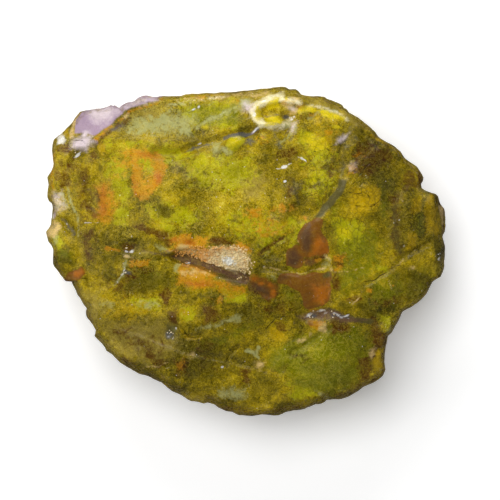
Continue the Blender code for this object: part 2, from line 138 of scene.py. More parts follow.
# Raised lumps and sunk pits: middle, half widths along and across, turn in degrees, and height.
LUMPS = {
    "green tongue": ((-2.2, 21.9), 1.9, 1.4, 35, 1),
    "amber hump": ((3.4, 22.2), 2.6, 1.8, -10, 1),
    "inner roll": ((5.4, 25.9), 2.6, 1.2, 5, 1.1),
    "yellow bead": ((12, 27.6), 2, 1.2, 15, 0.9),
    "west lobe": ((-36.4, 0.4), 2.8, 3.8, 0, 1.6),
    "north-west knob": ((-37, 19.8), 2.4, 2.8, 0, 1.2),
    "west knob": ((-38, 14.2), 1.8, 2.4, 0, 1),
    "east knob": ((37.4, 9.4), 2.2, 2.6, 20, 0.9),
    "south-east knob": ((27, -18), 2.6, 4, -15, 0.9),
    "jasper hump": ((13.6, 2.4), 5.6, 3.2, 70, 0.7),
    "lower jasper hump": ((12.4, -7), 4.8, 3.2, -20, 0.6),
    "green swell": ((15, -21.5), 9, 5, 15, 0.8),
    "west swell": ((-16, 11), 8, 5, 60, 0.7),
    "hole by the roll": ((8.4, 26.7), 1.6, 1.4, 0, -1.9),
    "small vug": ((14, -12.5), 3.4, 1.6, 8, -1.3),
    "dark pocket": ((-23.2, 0.9), 1.9, 1.5, 20, -0.9),
    "west pit": ((-35.5, 5), 2.2, 1.2, -50, -1.5),
    "north-west notch": ((-33.7, 19.4), 1.6, 1.2, 60, -1.3),
    "rind hollow": ((24.6, 22.6), 2.8, 1.5, -40, -1),
    "south-west hollow": ((-15.2, -15.6), 2, 2.6, 10, -0.7),
}

# Grooves and cracks: the line of the bed, half width and depth.
GROOVES = {
    "north groove": ([(-18, 19.8), (-14, 19.2), (-10.5, 20.5), (-7, 21.6), (-4, 22.7), (1.6, 24)], 1, 1.1),
    "west crack": ([(-31.8, 12.5), (-30.5, 10), (-29.3, 8.2)], 0.5, 0.35),
    "hook crack": ([(-13.5, -14.8), (-11.8, -16.9), (-9.2, -16.7)], 0.5, 0.5),
    "south crack": ([(-1.6, -18.6), (-3.3, -20.6), (-4, -22.6)], 0.5, 0.35),
    "vein seam": ([(20.5, 25), (19.3, 20), (19.3, 15), (16.5, 10), (14, 7)], 0.9, 0.4),
    "east crack": ([(24, -6.3), (28, -4), (32, -0.5), (37, 1.8)], 0.6, 0.35),
    "jasper seam": ([(3, -3.2), (8.5, -3.8), (12, -4.2), (16, -2.4)], 0.7, 0.5),
    "south-east crease": ([(8.8, -20.3), (11.5, -18.7), (14, -17), (16.5, -15.2)], 0.7, 0.5),
    "slit crevice": ([(-16, -0.9), (-12.6, -1.5), (-9.6, -2.1), (-7, -3.2), (-4.5, -4.2), (-2, -4.8),
                      (0.2, -5.8), (2.6, -7.8), (4.6, -8.8)], 0.5, 0.5),
    "west crevice": ([(-20.5, 0.4), (-18, 0.1), (-16, -0.7)], 0.4, 0.3),
    "dark diagonal": ([(3, -0.5), (5, 1.3), (7, 2.7)], 0.7, 0.35),
}  # fmt: skip

# Ledges: the ground to the left of the line is lower by the step, which sets in over the edge's width and
# fades out at its reach.
LEDGE_EDGE = 0.5
LEDGES = {
    "north ledge": ([(-30, 22.9), (-14, 22.4), (-10, 22)], 0.8, 6),
    "vein ledge": ([(14, 7), (18.8, 13), (19.4, 20)], 0.5, 6),
    "jasper ledge": ([(16.8, -9.6), (16.8, -4), (16.4, 2)], 0.6, 5),
    "west ledge": ([(-33, -2), (-31, -10), (-26, -14.5)], 0.6, 5),
    "south ledge": ([(-22, -16.5), (-12, -20.5), (2, -23.5)], 0.5, 6),
}

# The white roll under the north rind: its crest line, half width and height.
ROLL_CREST = [
    (7.4, 25.2), (5, 24.9), (3, 25.2), (1.9, 26.4), (1.5, 27.8), (2.5, 29.3), (4.6, 30.3), (7, 30.7),
    (9.4, 30.4), (11, 29.7),
]  # fmt: skip
ROLL_HALF_WIDTH = 1.2
ROLL_HEIGHT = 1.5

# How the rim turns down into the side: bearing in degrees, drop, and width of the turn.
RIM_TURN = [
    (0, 5, 1.3), (25, 4.5, 1.5), (60, 3.6, 1), (90, 3.4, 1.1), (130, 3, 1.4), (165, 4, 1.6), (195, 5, 2),
    (230, 5.6, 2.2), (270, 6.4, 2.4), (310, 5.6, 2), (335, 5, 1.5), (360, 5, 1.3),
]  # fmt: skip

# Flat breaks under the rim: bearing in degrees, and the shares of the way down where each starts and ends.
BREAKS = [
    (4, 0.2, 0.85), (40, 0.2, 0.95), (68, 0.05, 0.6), (97, 0.25, 0.95), (122, 0.05, 0.65), (150, 0.2, 0.9),
    (174, 0.15, 0.7), (204, 0.25, 0.95), (232, 0.05, 0.7), (262, 0.2, 0.95), (292, 0.05, 0.6),
    (318, 0.2, 0.9), (336, 0.3, 0.9),
]  # fmt: skip

# The slit's mouth at the face and its bed, point for point, from the west end round by the north.
SLIT_MOUTH = [
    (-16, -0.6), (-14, 0.5), (-12, 0.9), (-9.6, 1), (-7.2, 0.8), (-4.8, 1), (-2.2, 1.3), (-0.2, 0.4),
    (1.3, -1.6), (1.5, -3.6), (0.2, -5.7), (-2.8, -5.6), (-5.8, -4.9), (-8.6, -3.6), (-11.6, -2.7),
    (-14.4, -2.1),
]  # fmt: skip
SLIT_BED = [
    (-14.9, -1), (-14, -0.9), (-12.4, -1), (-10.6, -1.2), (-8.8, -1.9), (-6.8, -2.6), (-4.6, -3.2),
    (-2.6, -3.7), (-0.8, -4.2), (0.3, -4.6), (-0.2, -5.2), (-2.4, -5), (-5.2, -4.3), (-8, -3.2), (-11, -2.2),
    (-13.8, -1.7),
]  # fmt: skip


def area(strength, feather, *corners):
    """A coloured ground inside a closed outline; a strength below zero clears what was there."""
    return ("area", strength, feather, np.array(corners, float))


def spot(strength, feather, x, y, half_long, half_wide, turn=0.0):
    """An oval of colour, turned by so many degrees."""
    return ("spot", strength, feather, np.array((x, y, half_long, half_wide, math.radians(turn))))


def streak(strength, half_width, feather, *points):
    """A band of colour along a line."""
    return ("streak", strength, feather, (half_width, np.array(points, float)))


# Where each mineral colours the face, in the order in which they lie over each other.
MARKS = {
    "khaki": [
        area(0.8, 1.6, (-34, -7), (-29, -8), (-28, -15), (-30.5, -15.8), (-32.5, -11)),
        area(0.9, 2.4, (-30, -13.5), (-14, -13.5), (-13, -20), (-19, -23), (-27, -20.5)),
        area(0.75, 1.6, (-0.5, 10), (4.2, 10), (4.4, 16), (1.5, 17), (-1, 14)),
        area(0.7, 2, (-25, 28.2), (-16, 30.8), (-15, 26), (-23.5, 25.5)),
        area(0.4, 2, (-15, 29.8), (-8, 30), (-8, 24.5), (-14, 24)),
        area(0.7, 1.4, (-12.5, -28.2), (-6.5, -28.8), (-7, -31), (-12.5, -30.5)),
        area(0.6, 2, (-6, 30), (4, 30.3), (4, 33), (-6, 32.5)),
        area(0.7, 1.5, (11, 28.5), (18, 27.2), (22, 24.5), (24, 25.5), (18, 30), (12, 31.5)),
        area(0.5, 2, (28, 14), (32, 14), (31.5, -1), (28.5, -1.5)),
        spot(0.6, 1.5, -28, -11.5, 2.5, 2), spot(0.6, 1.2, -20.5, 0.2, 2.2, 1.4, -20),
        area(0.6, 1.5, (18, -28), (24, -25), (25.5, -21), (27, -24), (24, -27.5), (19, -29.5)),
    ],
    "lime": [
        area(0.64, 1.6, (-27, 5), (-23, 5), (-22.5, 11), (-23.5, 19), (-27, 20.5), (-29, 18), (-26.5, 12),
             (-25.2, 8)),
        area(0.65, 2.6, (-14, 18.5), (-8, 20.5), (-3, 20.5), (2, 19.5), (3, 14), (-2, 11), (-8, 12),
             (-13, 14)),
        area(0.6, 1, (-29, 22.6), (-14, 22), (-12, 20.8), (-20, 20.6), (-29, 20.2)),
        area(0.62, 2, (-20, 6), (-12, 4), (-8, 6), (-9, 9), (-15, 11), (-20, 10)),
        area(0.85, 1.6, (17, 6.8), (24, 6), (24, 1), (20, -0.5), (18, 1), (16.8, 4)),
        area(0.6, 2.2, (11.5, 23.5), (16, 23), (18.5, 19.5), (18.6, 13), (15, 9), (11, 11), (11, 18)),
        area(0.55, 2.4, (-6, 9), (6, 9), (10, 3), (6, -2), (0, 2), (-6, 4.5)),
        area(0.7, 1, (-8, 24.4), (-3, 24.2), (-2.5, 26.4), (-8, 26.6)),
        area(0.7, 1.6, (7.5, -26), (13, -25), (14.5, -28.5), (9, -30.4)),
        area(0.7, 1.4, (-22.5, -9), (-17.5, -8.8), (-17.2, -11.6), (-22.5, -12)),
        area(0.85, 0.9, (-13.5, -10.8), (-10.5, -10.9), (-10.2, -13.4), (-13.2, -13.2)),
        area(0.8, 0.9, (-4, -7.8), (0, -7.8), (0.6, -10), (-4, -9.9)),
        area(0.58, 1, (26, -12.2), (29.8, -12.6), (29, -16.5), (27, -16)),
        area(0.6, 1.5, (-25, 17), (-17, 22), (-9, 20.5), (-13, 17), (-20, 15)),
        spot(1, 0.35, -2.2, 21.8, 1.9, 1.2, 40), spot(0.8, 0.7, -25.3, 7.8, 1.2, 1.5),
        spot(0.8, 0.8, -15.4, 5, 2.2, 1, -20), spot(0.85, 0.9, -37.6, 1.8, 1.2, 1.8),
        spot(0.7, 0.8, 27.2, -3.2, 1.4, 0.8, 20), spot(0.7, 0.7, 8.5, 5.2, 1, 2.2, -40),
        spot(0.75, 0.7, 28.2, -8.8, 0.9, 0.7), spot(0.7, 0.8, 12, 22.5, 2.2, 1.6, 20),
        streak(0.7, 0.35, 0.4, (-9, 28.8), (-5, 29.8), (-2, 30.6)),
        streak(0.7, 0.6, 0.7, (8.5, -3.2), (8.9, 0.2), (9.6, 3.6), (11.2, 5.8)),
        area(0.5, 2.2, (8, -19.6), (16, -18), (15, -27), (8, -27)),
        area(0.8, 2, (-14, 30), (-2, 30), (-1, 24.6), (-12, 24.6)),
    ],
    "grass": [
        area(0.95, 2, (5, -19), (10, -16.5), (17, -15.2), (23, -15), (25, -18), (23.5, -22), (22, -26),
             (16, -28.5), (10, -26.5), (4, -23)),
        area(0.66, 2.4, (16.8, 1.5), (20, 4), (26, 6), (28, 2), (27, -4), (24, -7), (20, -9), (17, -8.5),
             (17.5, -4)),
        area(0.65, 2.6, (24, -4.5), (38, -3), (37, -8), (31.5, -12), (23, -11.5)),
        area(0.6, 1.8, (-9, -17), (2, -12.5), (5, -13.5), (-2, -18), (-9, -20.5)),
        area(0.5, 1.8, (14, 7), (18, 12), (21, 9), (18, 5)),
        area(0.7, 1, (33, 3), (35.5, 3), (35.2, 8), (33.2, 8)),
        area(0.6, 1.6, (25, 14.5), (29, 15), (29, 5), (26, 6)),
        spot(0.7, 0.9, -36.2, -1, 2.2, 1.8), spot(0.55, 1.6, -18, -5.4, 3.2, 2.2, -15),
        spot(0.6, 1.2, 8.4, -8.2, 2.6, 1.2, -35),
        area(0.5, 2, (-9, 29.6), (-3, 29), (-3, 25.4), (-8, 26)),
        area(0.66, 1.6, (-12, 30), (-1, 30), (0, 24.5), (-10, 24.5)),
    ],
    "gold": [
        area(0.74, 1.1, (20.3, 7.6), (24, 7.2), (27.2, 9.3), (27.3, 12.6), (24, 13.8), (20.8, 12.8)),
        area(0.8, 0.7, (31.8, 0.3), (34.2, 0.6), (34.2, 4.2), (32.2, 4)),
        area(0.75, 0.7, (32.5, 7.8), (35.2, 8.2), (35.2, 10.7), (32.8, 10.7)),
        area(0.75, 0.9, (35.5, 3), (38.4, 3.5), (38.6, 9), (37.5, 12), (35.7, 11.5)),
        area(0.85, 0.5, (33, 12.8), (35.2, 13.2), (35, 14.9), (33.6, 14.4)),
        area(0.48, 1.2, (12.6, 24.4), (19, 24.8), (19.6, 27.2), (13.2, 27.6)),
        area(0.5, 1.6, (-28.5, -8), (-18, -8.8), (-18, -13), (-22, -14.4), (-28.5, -13.8)),
        area(0.8, 0.9, (-5, -6.9), (0.3, -7), (0.4, -8.3), (-4.6, -8.6)),
        area(0.75, 0.9, (4.8, -14.8), (8.2, -15.2), (8.2, -17.5), (5, -17.6)),
        area(0.8, 1, (25.3, -18.6), (28.2, -19.2), (28, -25.2), (26, -25.6), (25, -22)),
        area(0.55, 2, (12, 24.5), (18.5, 24.5), (18.3, 19), (12, 20)),
        area(0.55, 2, (2, 8.5), (10, 6.5), (9, 3), (2, 4.5)),
        spot(0.75, 0.6, -36.2, 24, 0.9, 0.9), spot(0.8, 0.7, -29, 20.7, 0.9, 1.8),
        spot(0.6, 0.9, -32.6, 10, 1, 3.6, 8), spot(0.6, 1, -12.8, -12, 1.9, 1.4),
        streak(0.9, 0.5, 0.4, (25.4, 23.2), (28, 21.8), (31.2, 20)),
        streak(0.8, 0.4, 0.5, (-10.5, 31), (-7.5, 31.3), (-4.6, 31.6)),
        streak(0.8, 0.5, 0.5, (-38.6, 11), (-38.9, 13.6), (-38.1, 16.6), (-38.4, 19)),
        streak(0.8, 0.6, 0.5, (-34.4, 24), (-34.2, 26), (-33.3, 28)),
        streak(0.7, 0.4, 0.5, (-13, -15.2), (-11.4, -17.2), (-9, -17)),
        streak(0.6, 0.6, 0.8, (-29.5, -20), (-22, -24), (-14, -27.8), (-6, -30.6), (4, -32.4)),
        area(0.6, 1.2, (-10, -5.6), (-2, -6.6), (-1, -8.6), (-9, -7.8)),
        area(0.8, 0.8, (-5.6, -6.2), (0, -7), (1, -8.6), (-4.8, -8.4)),
    ],
    "umber": [
        area(0.62, 1.2, (5.2, 17.6), (10.4, 17.8), (10.4, 21), (5.8, 21)),
        spot(0.85, 0.7, 8.9, 19.7, 1.4, 1),
        area(0.55, 1.3, (7.3, 7.8), (10.2, 8.2), (10.2, 15.2), (7.6, 15.2)),
        area(0.62, 1.5, (20, 15), (25, 14.6), (29.5, 17.6), (30, 21), (25, 22.6), (20.8, 21)),
        area(0.62, 1.2, (30.6, 11.8), (34.6, 12.3), (34.2, 17), (30.8, 16.5)),
        spot(0.95, 0.5, 34.9, 15.3, 0.9, 1.6),
        area(0.58, 1.2, (-33.2, -2.4), (-29.8, -2.8), (-29.4, 5.2), (-32.7, 5.2)),
        area(0.62, 0.9, (-37.6, 12), (-34.2, 12.6), (-34.2, 19), (-37.2, 18.5)),
        spot(0.85, 0.6, -30.5, 19, 0.8, 1.4), spot(0.8, 0.7, -36.3, 20.6, 1.8, 1.3),
        spot(0.85, 0.6, -37.4, 15.2, 0.9, 1.4),
        area(0.6, 1.2, (-34, 18), (-30.5, 17), (-30.5, 12), (-33.5, 12)),
        streak(0.85, 0.9, 0.8, (-21.5, 5.2), (-18.5, 4), (-16, 3), (-15.4, 1.8)),
        area(0.95, 0.5, (-17.7, -8.5), (-16, -6.9), (-14.3, -8.5), (-16, -10.4)),
        area(0.85, 0.6, (-15.6, -11.4), (-13.8, -11.2), (-13.6, -14.2), (-15.2, -14.2)),
        area(0.72, 1.2, (-9.4, -10.2), (-4.8, -10.8), (-5, -14.2), (-8.8, -14.5)),
        area(0.7, 1.5, (-10, -18), (-6, -17.6), (-5.8, -24), (-9.2, -24.2)),
        area(0.68, 1.2, (-14.4, -20.8), (-10.8, -20.8), (-10.8, -24.8), (-14, -24.8)),
        spot(0.85, 0.6, -24, -21.4, 1.4, 0.8, -35), spot(0.7, 0.8, -19, -20.4, 1.6, 1.2),
        spot(0.75, 0.8, -17, -21.9, 1.5, 1), spot(0.6, 1.2, -24.5, -15.8, 2.8, 1.4, 10),
        area(0.75, 1, (-1.4, -22.9), (1, -23.1), (1, -26.3), (-1.4, -26.3)),
        area(0.75, 0.8, (5.7, -13.6), (8.3, -13.8), (8.3, -15.7), (6, -15.5)),
        area(0.8, 0.9, (16.6, -13.8), (20.3, -13.9), (20.4, -16), (17, -16.2)),
        streak(0.85, 0.8, 0.7, (25.2, -13.6), (25.9, -16), (26, -18), (25.5, -20.4)),
        area(0.85, 0.6, (25.2, -15.8), (28.2, -16.3), (27.8, -19), (25.2, -19)),
        area(0.6, 1.2, (21.6, -20.6), (25.3, -20.2), (25.6, -26.3), (22, -27.6)),
        area(0.7, 0.9, (16.8, -4.1), (18.6, -4.3), (18.7, -8), (16.8, -8.2)),
        spot(0.95, 0.5, -5, 1.9, 2.6, 0.8, -4), spot(0.9, 0.5, -23.2, 1.1, 1.3, 0.9),
        streak(0.62, 0.35, 0.5, (1.4, 23.2), (4, 24), (5, 23.5), (5.6, 22), (6, 21)),
        spot(0.6, 0.8, 11, 26.6, 1.2, 0.8),
        streak(0.9, 0.35, 0.4, (-27.6, -5.3), (-26, -5.4)),
        streak(0.9, 0.5, 0.4, (-23.6, -4.5), (-21.4, -5.4)),
        streak(0.8, 0.5, 0.5, (3, -0.5), (5, 1.3), (7, 2.8)),
        area(0.5, 1.8, (-31, -5), (-22, -3), (-18, -8), (-26, -9.5), (-31, -7)),
        area(0.5, 2, (-28, -16), (-20, -15.5), (-14, -17), (-16, -22), (-24, -20)),
        area(0.5, 2, (24, -8), (34, -8), (32, -12), (25, -12)),
        streak(0.7, 0.7, 0.8, (39.6, 4), (39.8, 8), (38.6, 11.4)),
        streak(0.6, 0.9, 0.9, (28, -17), (27.6, -24), (22, -28.4), (13, -31), (3, -32.8), (-7, -30.4)),
        area(0.55, 1.6, (2, -10), (9, -9.5), (11, -12.5), (3, -13)),
        streak(0.76, 0.7, 0.7, (-29.8, 21.6), (-27.8, 23.8), (-25.4, 25.4), (-23.6, 26.8)),
        spot(0.58, 1.6, 16, 16.6, 2.2, 2), spot(0.62, 1.4, -20, -4, 3, 1.4, -10),
        spot(0.7, 0.8, 13.6, -10.9, 2.8, 0.7, -5),
        area(0.62, 1, (-30.5, 13.6), (-28, 12.6), (-26.8, 7.6), (-29.6, 7)),
        spot(0.6, 1.2, -33.4, 22.2, 1.6, 0.8, 10),
        area(0.62, 1.2, (28.4, 12), (31, 12), (31.4, 0), (29, -1)),
        area(0.9, 1, (0, -5), (2.6, -5.6), (6.4, -5.8), (7.4, -8.8), (4.4, -9.8), (1.2, -8)),
        area(0.6, 0.9, (-11.6, -5.2), (-6, -6), (-5.6, -7.4), (-11, -6.8)),
        spot(0.7, 0.4, -8.6, -3.6, 0.8, 0.3, -10), spot(0.62, 0.5, -17.8, 18.6, 0.7, 1.8, 10),
        area(0.85, 0.6, (11.2, -0.7), (16, -0.3), (14.8, -1.6), (13, -2.6), (11.4, -2.9)),
        spot(0.72, 0.6, 21.2, -9.2, 1.8, 1, 15), spot(0.8, 0.3, -9.2, -3.9, 0.9, 0.3, -15),
        spot(0.7, 0.3, -12.2, -4.6, 0.5, 0.3), spot(0.7, 0.4, -10.6, -6, 0.8, 0.4),
        area(0.75, 0.8, (16.9, -0.4), (19.4, -0.4), (20, -3.2), (17.2, -3.9)),
        area(0.56, 1.6, (-34.6, 18), (-30.2, 17.6), (-29.4, 6), (-33.4, 5)),
    ],
    "moss": [
        spot(0.85, 1, -16, 8.2, 2, 1.6, -20), spot(0.7, 0.9, -12.3, 10, 1.5, 1.1, 25),
        spot(0.65, 1.2, -13, 16, 2.4, 1.1, 12), spot(0.6, 1.4, -7.4, 16, 2.6, 1.2, 8),
        spot(0.65, 1.4, -5, 13, 2.2, 1, -18), spot(0.72, 1, 3.9, 18, 1.2, 1.9, 10),
        spot(0.8, 0.8, 5.2, 8.6, 0.9, 1.9, -8), spot(0.8, 0.9, -36, -1.8, 2, 1.1),
        spot(0.6, 1, -8.6, 7.6, 1.8, 0.9, 25), spot(0.6, 1, -2.2, 6.6, 1.6, 1.2),
        spot(0.6, 1, -3.5, 4.4, 3, 1, -12), spot(0.6, 1.2, 1.6, 2.2, 2.6, 1.2, -30),
        spot(0.65, 1.2, 14, 13, 2.2, 1.3, -60), spot(0.6, 1, 15.8, 17, 1.6, 1.2),
        area(0.75, 1.2, (-24, -5.6), (-15.4, -3.4), (-14.6, -6.8), (-20, -8.6), (-24, -8)),
        area(0.6, 1.6, (-30, 0), (-24.5, 1), (-24.5, -6), (-29, -7)),
        area(0.62, 1.4, (-12.8, -7), (-6, -7.2), (-6, -10.2), (-12.6, -10.6)),
        area(0.6, 1.8, (-12, -18), (-3, -17), (-4, -26), (-12, -26)),
        area(0.55, 1.8, (-1, -10.5), (6, -10.8), (6, -13.2), (-1, -14)),
        area(0.6, 1.2, (17.6, -9), (25, -9.5), (25, -12.4), (17.6, -11.8)),
        area(0.62, 1.6, (30, -3), (38, -3), (37, -8.4), (31, -11.6), (28.6, -8)),
        area(0.9, 0.5, (37.4, 2.6), (40.4, 2.8), (40.4, -5), (38.2, -5)),
        area(0.6, 1.2, (21, 7), (27.6, 8.8), (28, 3), (25, 5.6)),
        spot(0.6, 1, 12, -21, 2.2, 1, -15), spot(0.6, 1.2, 19, -17, 2.6, 1, 5),
        spot(0.55, 1.2, 7, -23.5, 2.2, 1.2, 30), spot(0.7, 0.8, 33.8, 5.6, 0.8, 2.4),
        spot(0.6, 1, 27.6, 12.6, 1, 2.6),
        streak(0.8, 0.4, 0.5, (8.8, -20), (9.8, -20.5), (11.2, -20.4)),
        streak(0.6, 0.5, 0.6, (-30.6, 14.4), (-28.6, 17), (-27.4, 19.6)),
        spot(0.62, 0.8, 10.2, 1.4, 1, 0.6), spot(0.7, 0.8, -9.6, 13.6, 1.2, 0.8),
        spot(0.7, 0.8, 2.6, 15.4, 1, 0.8),
    ],
    "milk": [
        area(0.66, 1.8, (-23.5, 27), (-15, 28.4), (-10, 27.6), (-9, 24.6), (-13.6, 23), (-23.5, 23.2),
             (-24.8, 24.5)),
        streak(0.95, 0.7, 1, (-21.5, 23.8), (-18.6, 25.2), (-16.4, 27)),
        area(0.75, 1, (-14.6, 25.6), (-10.8, 25.2), (-10.6, 23), (-14, 23)),
        streak(0.7, 0.6, 0.8, (-10, 24.6), (-6, 26.8), (-2, 28.4), (1, 29)),
        area(0.64, 0.9, (-7.5, 19.4), (-5.2, 19), (-4.8, 22), (-6.3, 22.9)),
        spot(0.8, 0.6, -3.9, 20.2, 1.4, 0.6, -15),
        area(0.8, 1, (-1.2, 27.9), (1.2, 28.4), (1.5, 30.4), (-1.2, 30.7)),
        streak(0.7, 0.25, 0.3, (-15.4, 29.2), (-12, 29.3)),
        spot(0.95, 0.5, 8.1, 25.5, 1.1, 0.9), spot(0.75, 0.7, -2.2, -13.1, 1.8, 0.8, 10),
        area(0.7, 1.6, (-6, -26.8), (0.5, -27), (0, -29.4), (-5.4, -29.2)),
        streak(0.8, 0.35, 0.4, (0.3, -19.4), (2.3, -20.8)),
        streak(0.8, 0.35, 0.4, (2.6, -18.6), (1.9, -20.4)),
        streak(0.6, 0.6, 0.6, (-9.6, -15), (-7, -14.7), (-4.8, -14.4)),
        streak(0.75, 0.3, 0.35, (-35.4, 12.6), (-35, 10), (-34, 7.3), (-33.4, 5), (-33.3, 3.4)),
        streak(0.7, 0.3, 0.4, (-38.4, 11.6), (-36.6, 11.4), (-35.4, 9)),
        streak(0.7, 0.4, 0.4, (-38, 9), (-36.4, 9.6)),
        spot(0.65, 0.8, -38.2, 2.4, 0.8, 1.4), spot(0.6, 1.2, -19.6, -10.4, 2.6, 0.9, -6),
        spot(0.6, 0.8, 35.8, 11.9, 0.8, 0.8), spot(0.8, 0.6, 28.8, -15.9, 0.8, 0.6, 40),
        spot(0.7, 0.7, -27.4, -10.4, 1.6, 0.5),
        streak(0.6, 0.5, 0.6, (14.2, -27.8), (16, -29)),
        area(0.55, 0.8, (15, -0.9), (16.8, -0.8), (16.9, -3.7), (15.2, -3.4)),
        spot(0.6, 0.6, 5, -4.7, 1.2, 0.5, -8),
        streak(0.58, 0.5, 0.6, (-18.2, 1.6), (-16.2, 0.7), (-15, -0.3)),
        spot(0.6, 0.9, -7.5, 29.6, 1.6, 0.4, 10),
        streak(0.7, 0.35, 0.4, (12.2, 26.6), (15, 27.8), (18, 28)),
        streak(0.7, 0.3, 0.5, (9.6, 26), (9.9, 23.8)),
        streak(0.7, 0.35, 0.5, (6.4, 21.6), (8, 23), (9.8, 24.4)),
        spot(0.54, 0.7, -13.7, -3.2, 0.9, 1, -40),
        streak(0.7, 0.3, 0.4, (-23.6, -1.4), (-23.8, -3), (-24.6, -4.6), (-26.4, -6.4)),
        spot(0.72, 0.4, -14.6, -15.2, 0.9, 0.5, -30),
    ],
    "rust": [
        area(0.78, 1, (-23.2, 20.3), (-20, 20.3), (-18, 19.8), (-15.7, 19), (-15.9, 18), (-16.4, 15),
             (-17.2, 13), (-18.7, 12), (-19.3, 9.9), (-21, 9.6), (-22.6, 11), (-23.3, 15)),
        area(-0.55, 1.2, (-21.4, 18.8), (-18.6, 18.6), (-18.3, 15), (-20.6, 13.6)),
        area(0.74, 0.8, (-15.4, 1.6), (-12.6, 3.6), (-8.4, 4), (-7, 2.4), (-8, 0.8), (-12, 0.8)),
        area(0.46, 2, (-1, 8.5), (6, 8.5), (8, 3), (1, 2)),
        area(0.5, 1.6, (-25.6, 22), (-22, 21), (-23, 15), (-24.6, 14)),
        area(0.5, 1.2, (-30, 13.9), (-27, 14.1), (-26.4, 12), (-24.9, 9), (-25.2, 7), (-27, 5.4),
             (-29, 5.4), (-30.5, 8)),
        streak(0.74, 0.32, 0.5, (-30, 22.3), (-28.3, 24.4), (-26.8, 25.2), (-25.6, 26.4), (-24, 27.6),
               (-22, 28.6), (-20, 29.3), (-18, 29.6), (-16.6, 30.6)),
        area(0.85, 1, (-15.8, 0.2), (-12.4, 2.8), (-9.2, 2.8), (-7.3, 1.2), (-9, -0.6), (-13, -0.3)),
        spot(0.9, 0.6, -0.6, 1, 1.7, 1, -30),
        area(0.64, 1.2, (-14, -3), (-8, -4), (-4.8, -5.6), (-4.8, -7), (-9, -7.4), (-13.8, -6.6)),
        streak(0.95, 0.28, 0.3, (-27.8, 0.7), (-26.4, 0.4), (-25, 0.2)),
        area(0.8, 0.7, (-23, -1), (-19, -1.2), (-19.2, -3), (-22.5, -2.8)),
        spot(0.62, 0.9, 1.5, 7.5, 1.1, 0.8), spot(0.75, 0.7, 4, 3.6, 1.1, 0.6),
        spot(0.6, 1, 7.6, 8.7, 1.8, 1.1), spot(0.8, 0.5, 11, 6.6, 0.7, 0.6),
        spot(0.62, 0.9, 17, 23.9, 1.2, 0.8), spot(0.85, 0.5, 10.8, 28.4, 0.8, 0.6, 10),
        spot(0.6, 0.7, 13.4, 27, 1.4, 0.7, -10), spot(0.7, 0.4, -1.3, 30, 0.5, 0.5),
        spot(0.4, 0.9, 3.4, 22.3, 2, 1.1, -12),
        area(0.56, 0.8, (16.9, -0.4), (18.8, 0), (20.1, -0.8), (20.3, -3), (19.6, -3.9), (17.2, -3.9)),
        streak(0.7, 0.5, 0.6, (11.2, -1.8), (13, -2.2), (14.6, -1.6)),
        spot(0.85, 0.6, 14, -14.1, 1.6, 0.8, -8), spot(0.52, 0.7, 22, 19.3, 1.5, 0.7),
        spot(0.85, 0.4, 29.2, -6.8, 0.5, 0.4), spot(0.7, 0.5, 24.8, -7.8, 0.7, 0.5),
        spot(0.6, 0.6, -9, 30.9, 1.6, 0.5, 5), spot(0.8, 0.4, -31.7, 28, 0.6, 0.5),
        spot(0.5, 1, -10.6, 16.6, 1.2, 0.7), spot(0.6, 0.6, -12.8, -22.6, 1, 1.4),
        streak(0.6, 0.5, 0.6, (-38.6, 20), (-38.4, 17), (-39, 13)),
        area(0.7, 0.7, (-6.4, -5.2), (0.6, -6.6), (0.8, -8.2), (-5.4, -7.4)),
        spot(0.55, 1.5, -26, 16, 1.5, 2.4), spot(0.55, 1.2, -5, -9, 2, 1), spot(0.5, 0.9, 21.2, 16.4, 1, 1.4),
        spot(0.62, 0.6, 14.2, -14.6, 1.2, 0.5, -10),
        streak(0.85, 0.5, 0.6, (-17.2, 19.4), (-16.4, 16.4), (-17.8, 13.6), (-19.2, 11)),
        spot(0.62, 0.5, 1.2, -5.6, 0.9, 0.5, -30), spot(0.62, 0.5, 4.6, -6.6, 1.4, 0.5, -20),
        spot(0.85, 0.5, 7.8, 29.9, 0.5, 0.6),
        area(0.74, 0.6, (-13.4, -2.9), (-9, -3.3), (-5.4, -4.7), (-7, -5.6), (-13.4, -4.9)),
        spot(0.75, 0.8, 1.2, 7.8, 2.2, 1.2, -10), spot(0.68, 0.8, -27, 7.6, 1.2, 1.4),
        spot(0.75, 0.7, -8.6, 2.7, 1.8, 0.8, -10), spot(0.58, 0.8, -3.4, -8.7, 1.8, 0.7),
        spot(0.62, 0.6, 13, -11.4, 1.8, 0.5, -5),
        streak(0.54, 0.5, 0.6, (-26, 18.2), (-23.4, 18.4)),
        area(0.74, 0.4, (-13, -2.2), (-9.2, -2.7), (-5.8, -3.8), (-5.4, -4.8), (-9, -3.9), (-13, -3.2)),
        area(0.64, 0.7, (-5.4, -5.2), (-0.6, -6.4), (-0.4, -7.6), (-4.6, -6.9)),
        area(0.56, 1, (-30.4, 13.6), (-26.4, 14), (-25.6, 6), (-29, 4.6)),
    ],
    "jasper": [
        area(1, 0.3, (11.2, 5.3), (12.5, 6), (13.8, 6.9), (15.2, 6.5), (14.8, 4.5), (15.2, 3.5), (16, 2.5),
             (16.4, 1), (16, -0.2), (13, -1), (11.3, -0.8), (10.5, 1.5), (9.9, 3.3)),
        area(1, 0.3, (9.9, 1.6), (8.2, 0), (7.7, -2.5), (10, -3.1), (11.4, -2.6), (11.4, -0.5), (10.8, 1)),
        area(1, 0.35, (6.2, -5.2), (7, -4.3), (9, -4), (12, -4.4), (14, -3.9), (16.8, -3.9), (16.7, -6),
             (16.6, -9.5), (16, -10.5), (14, -11), (12, -11.5), (11, -10), (10.8, -7.8), (8.5, -6.6),
             (6.3, -6.2)),
        spot(0.62, 1, -30, 7.2, 1.2, 1.4), spot(0.7, 0.7, 12.6, -14, 1.4, 0.6),
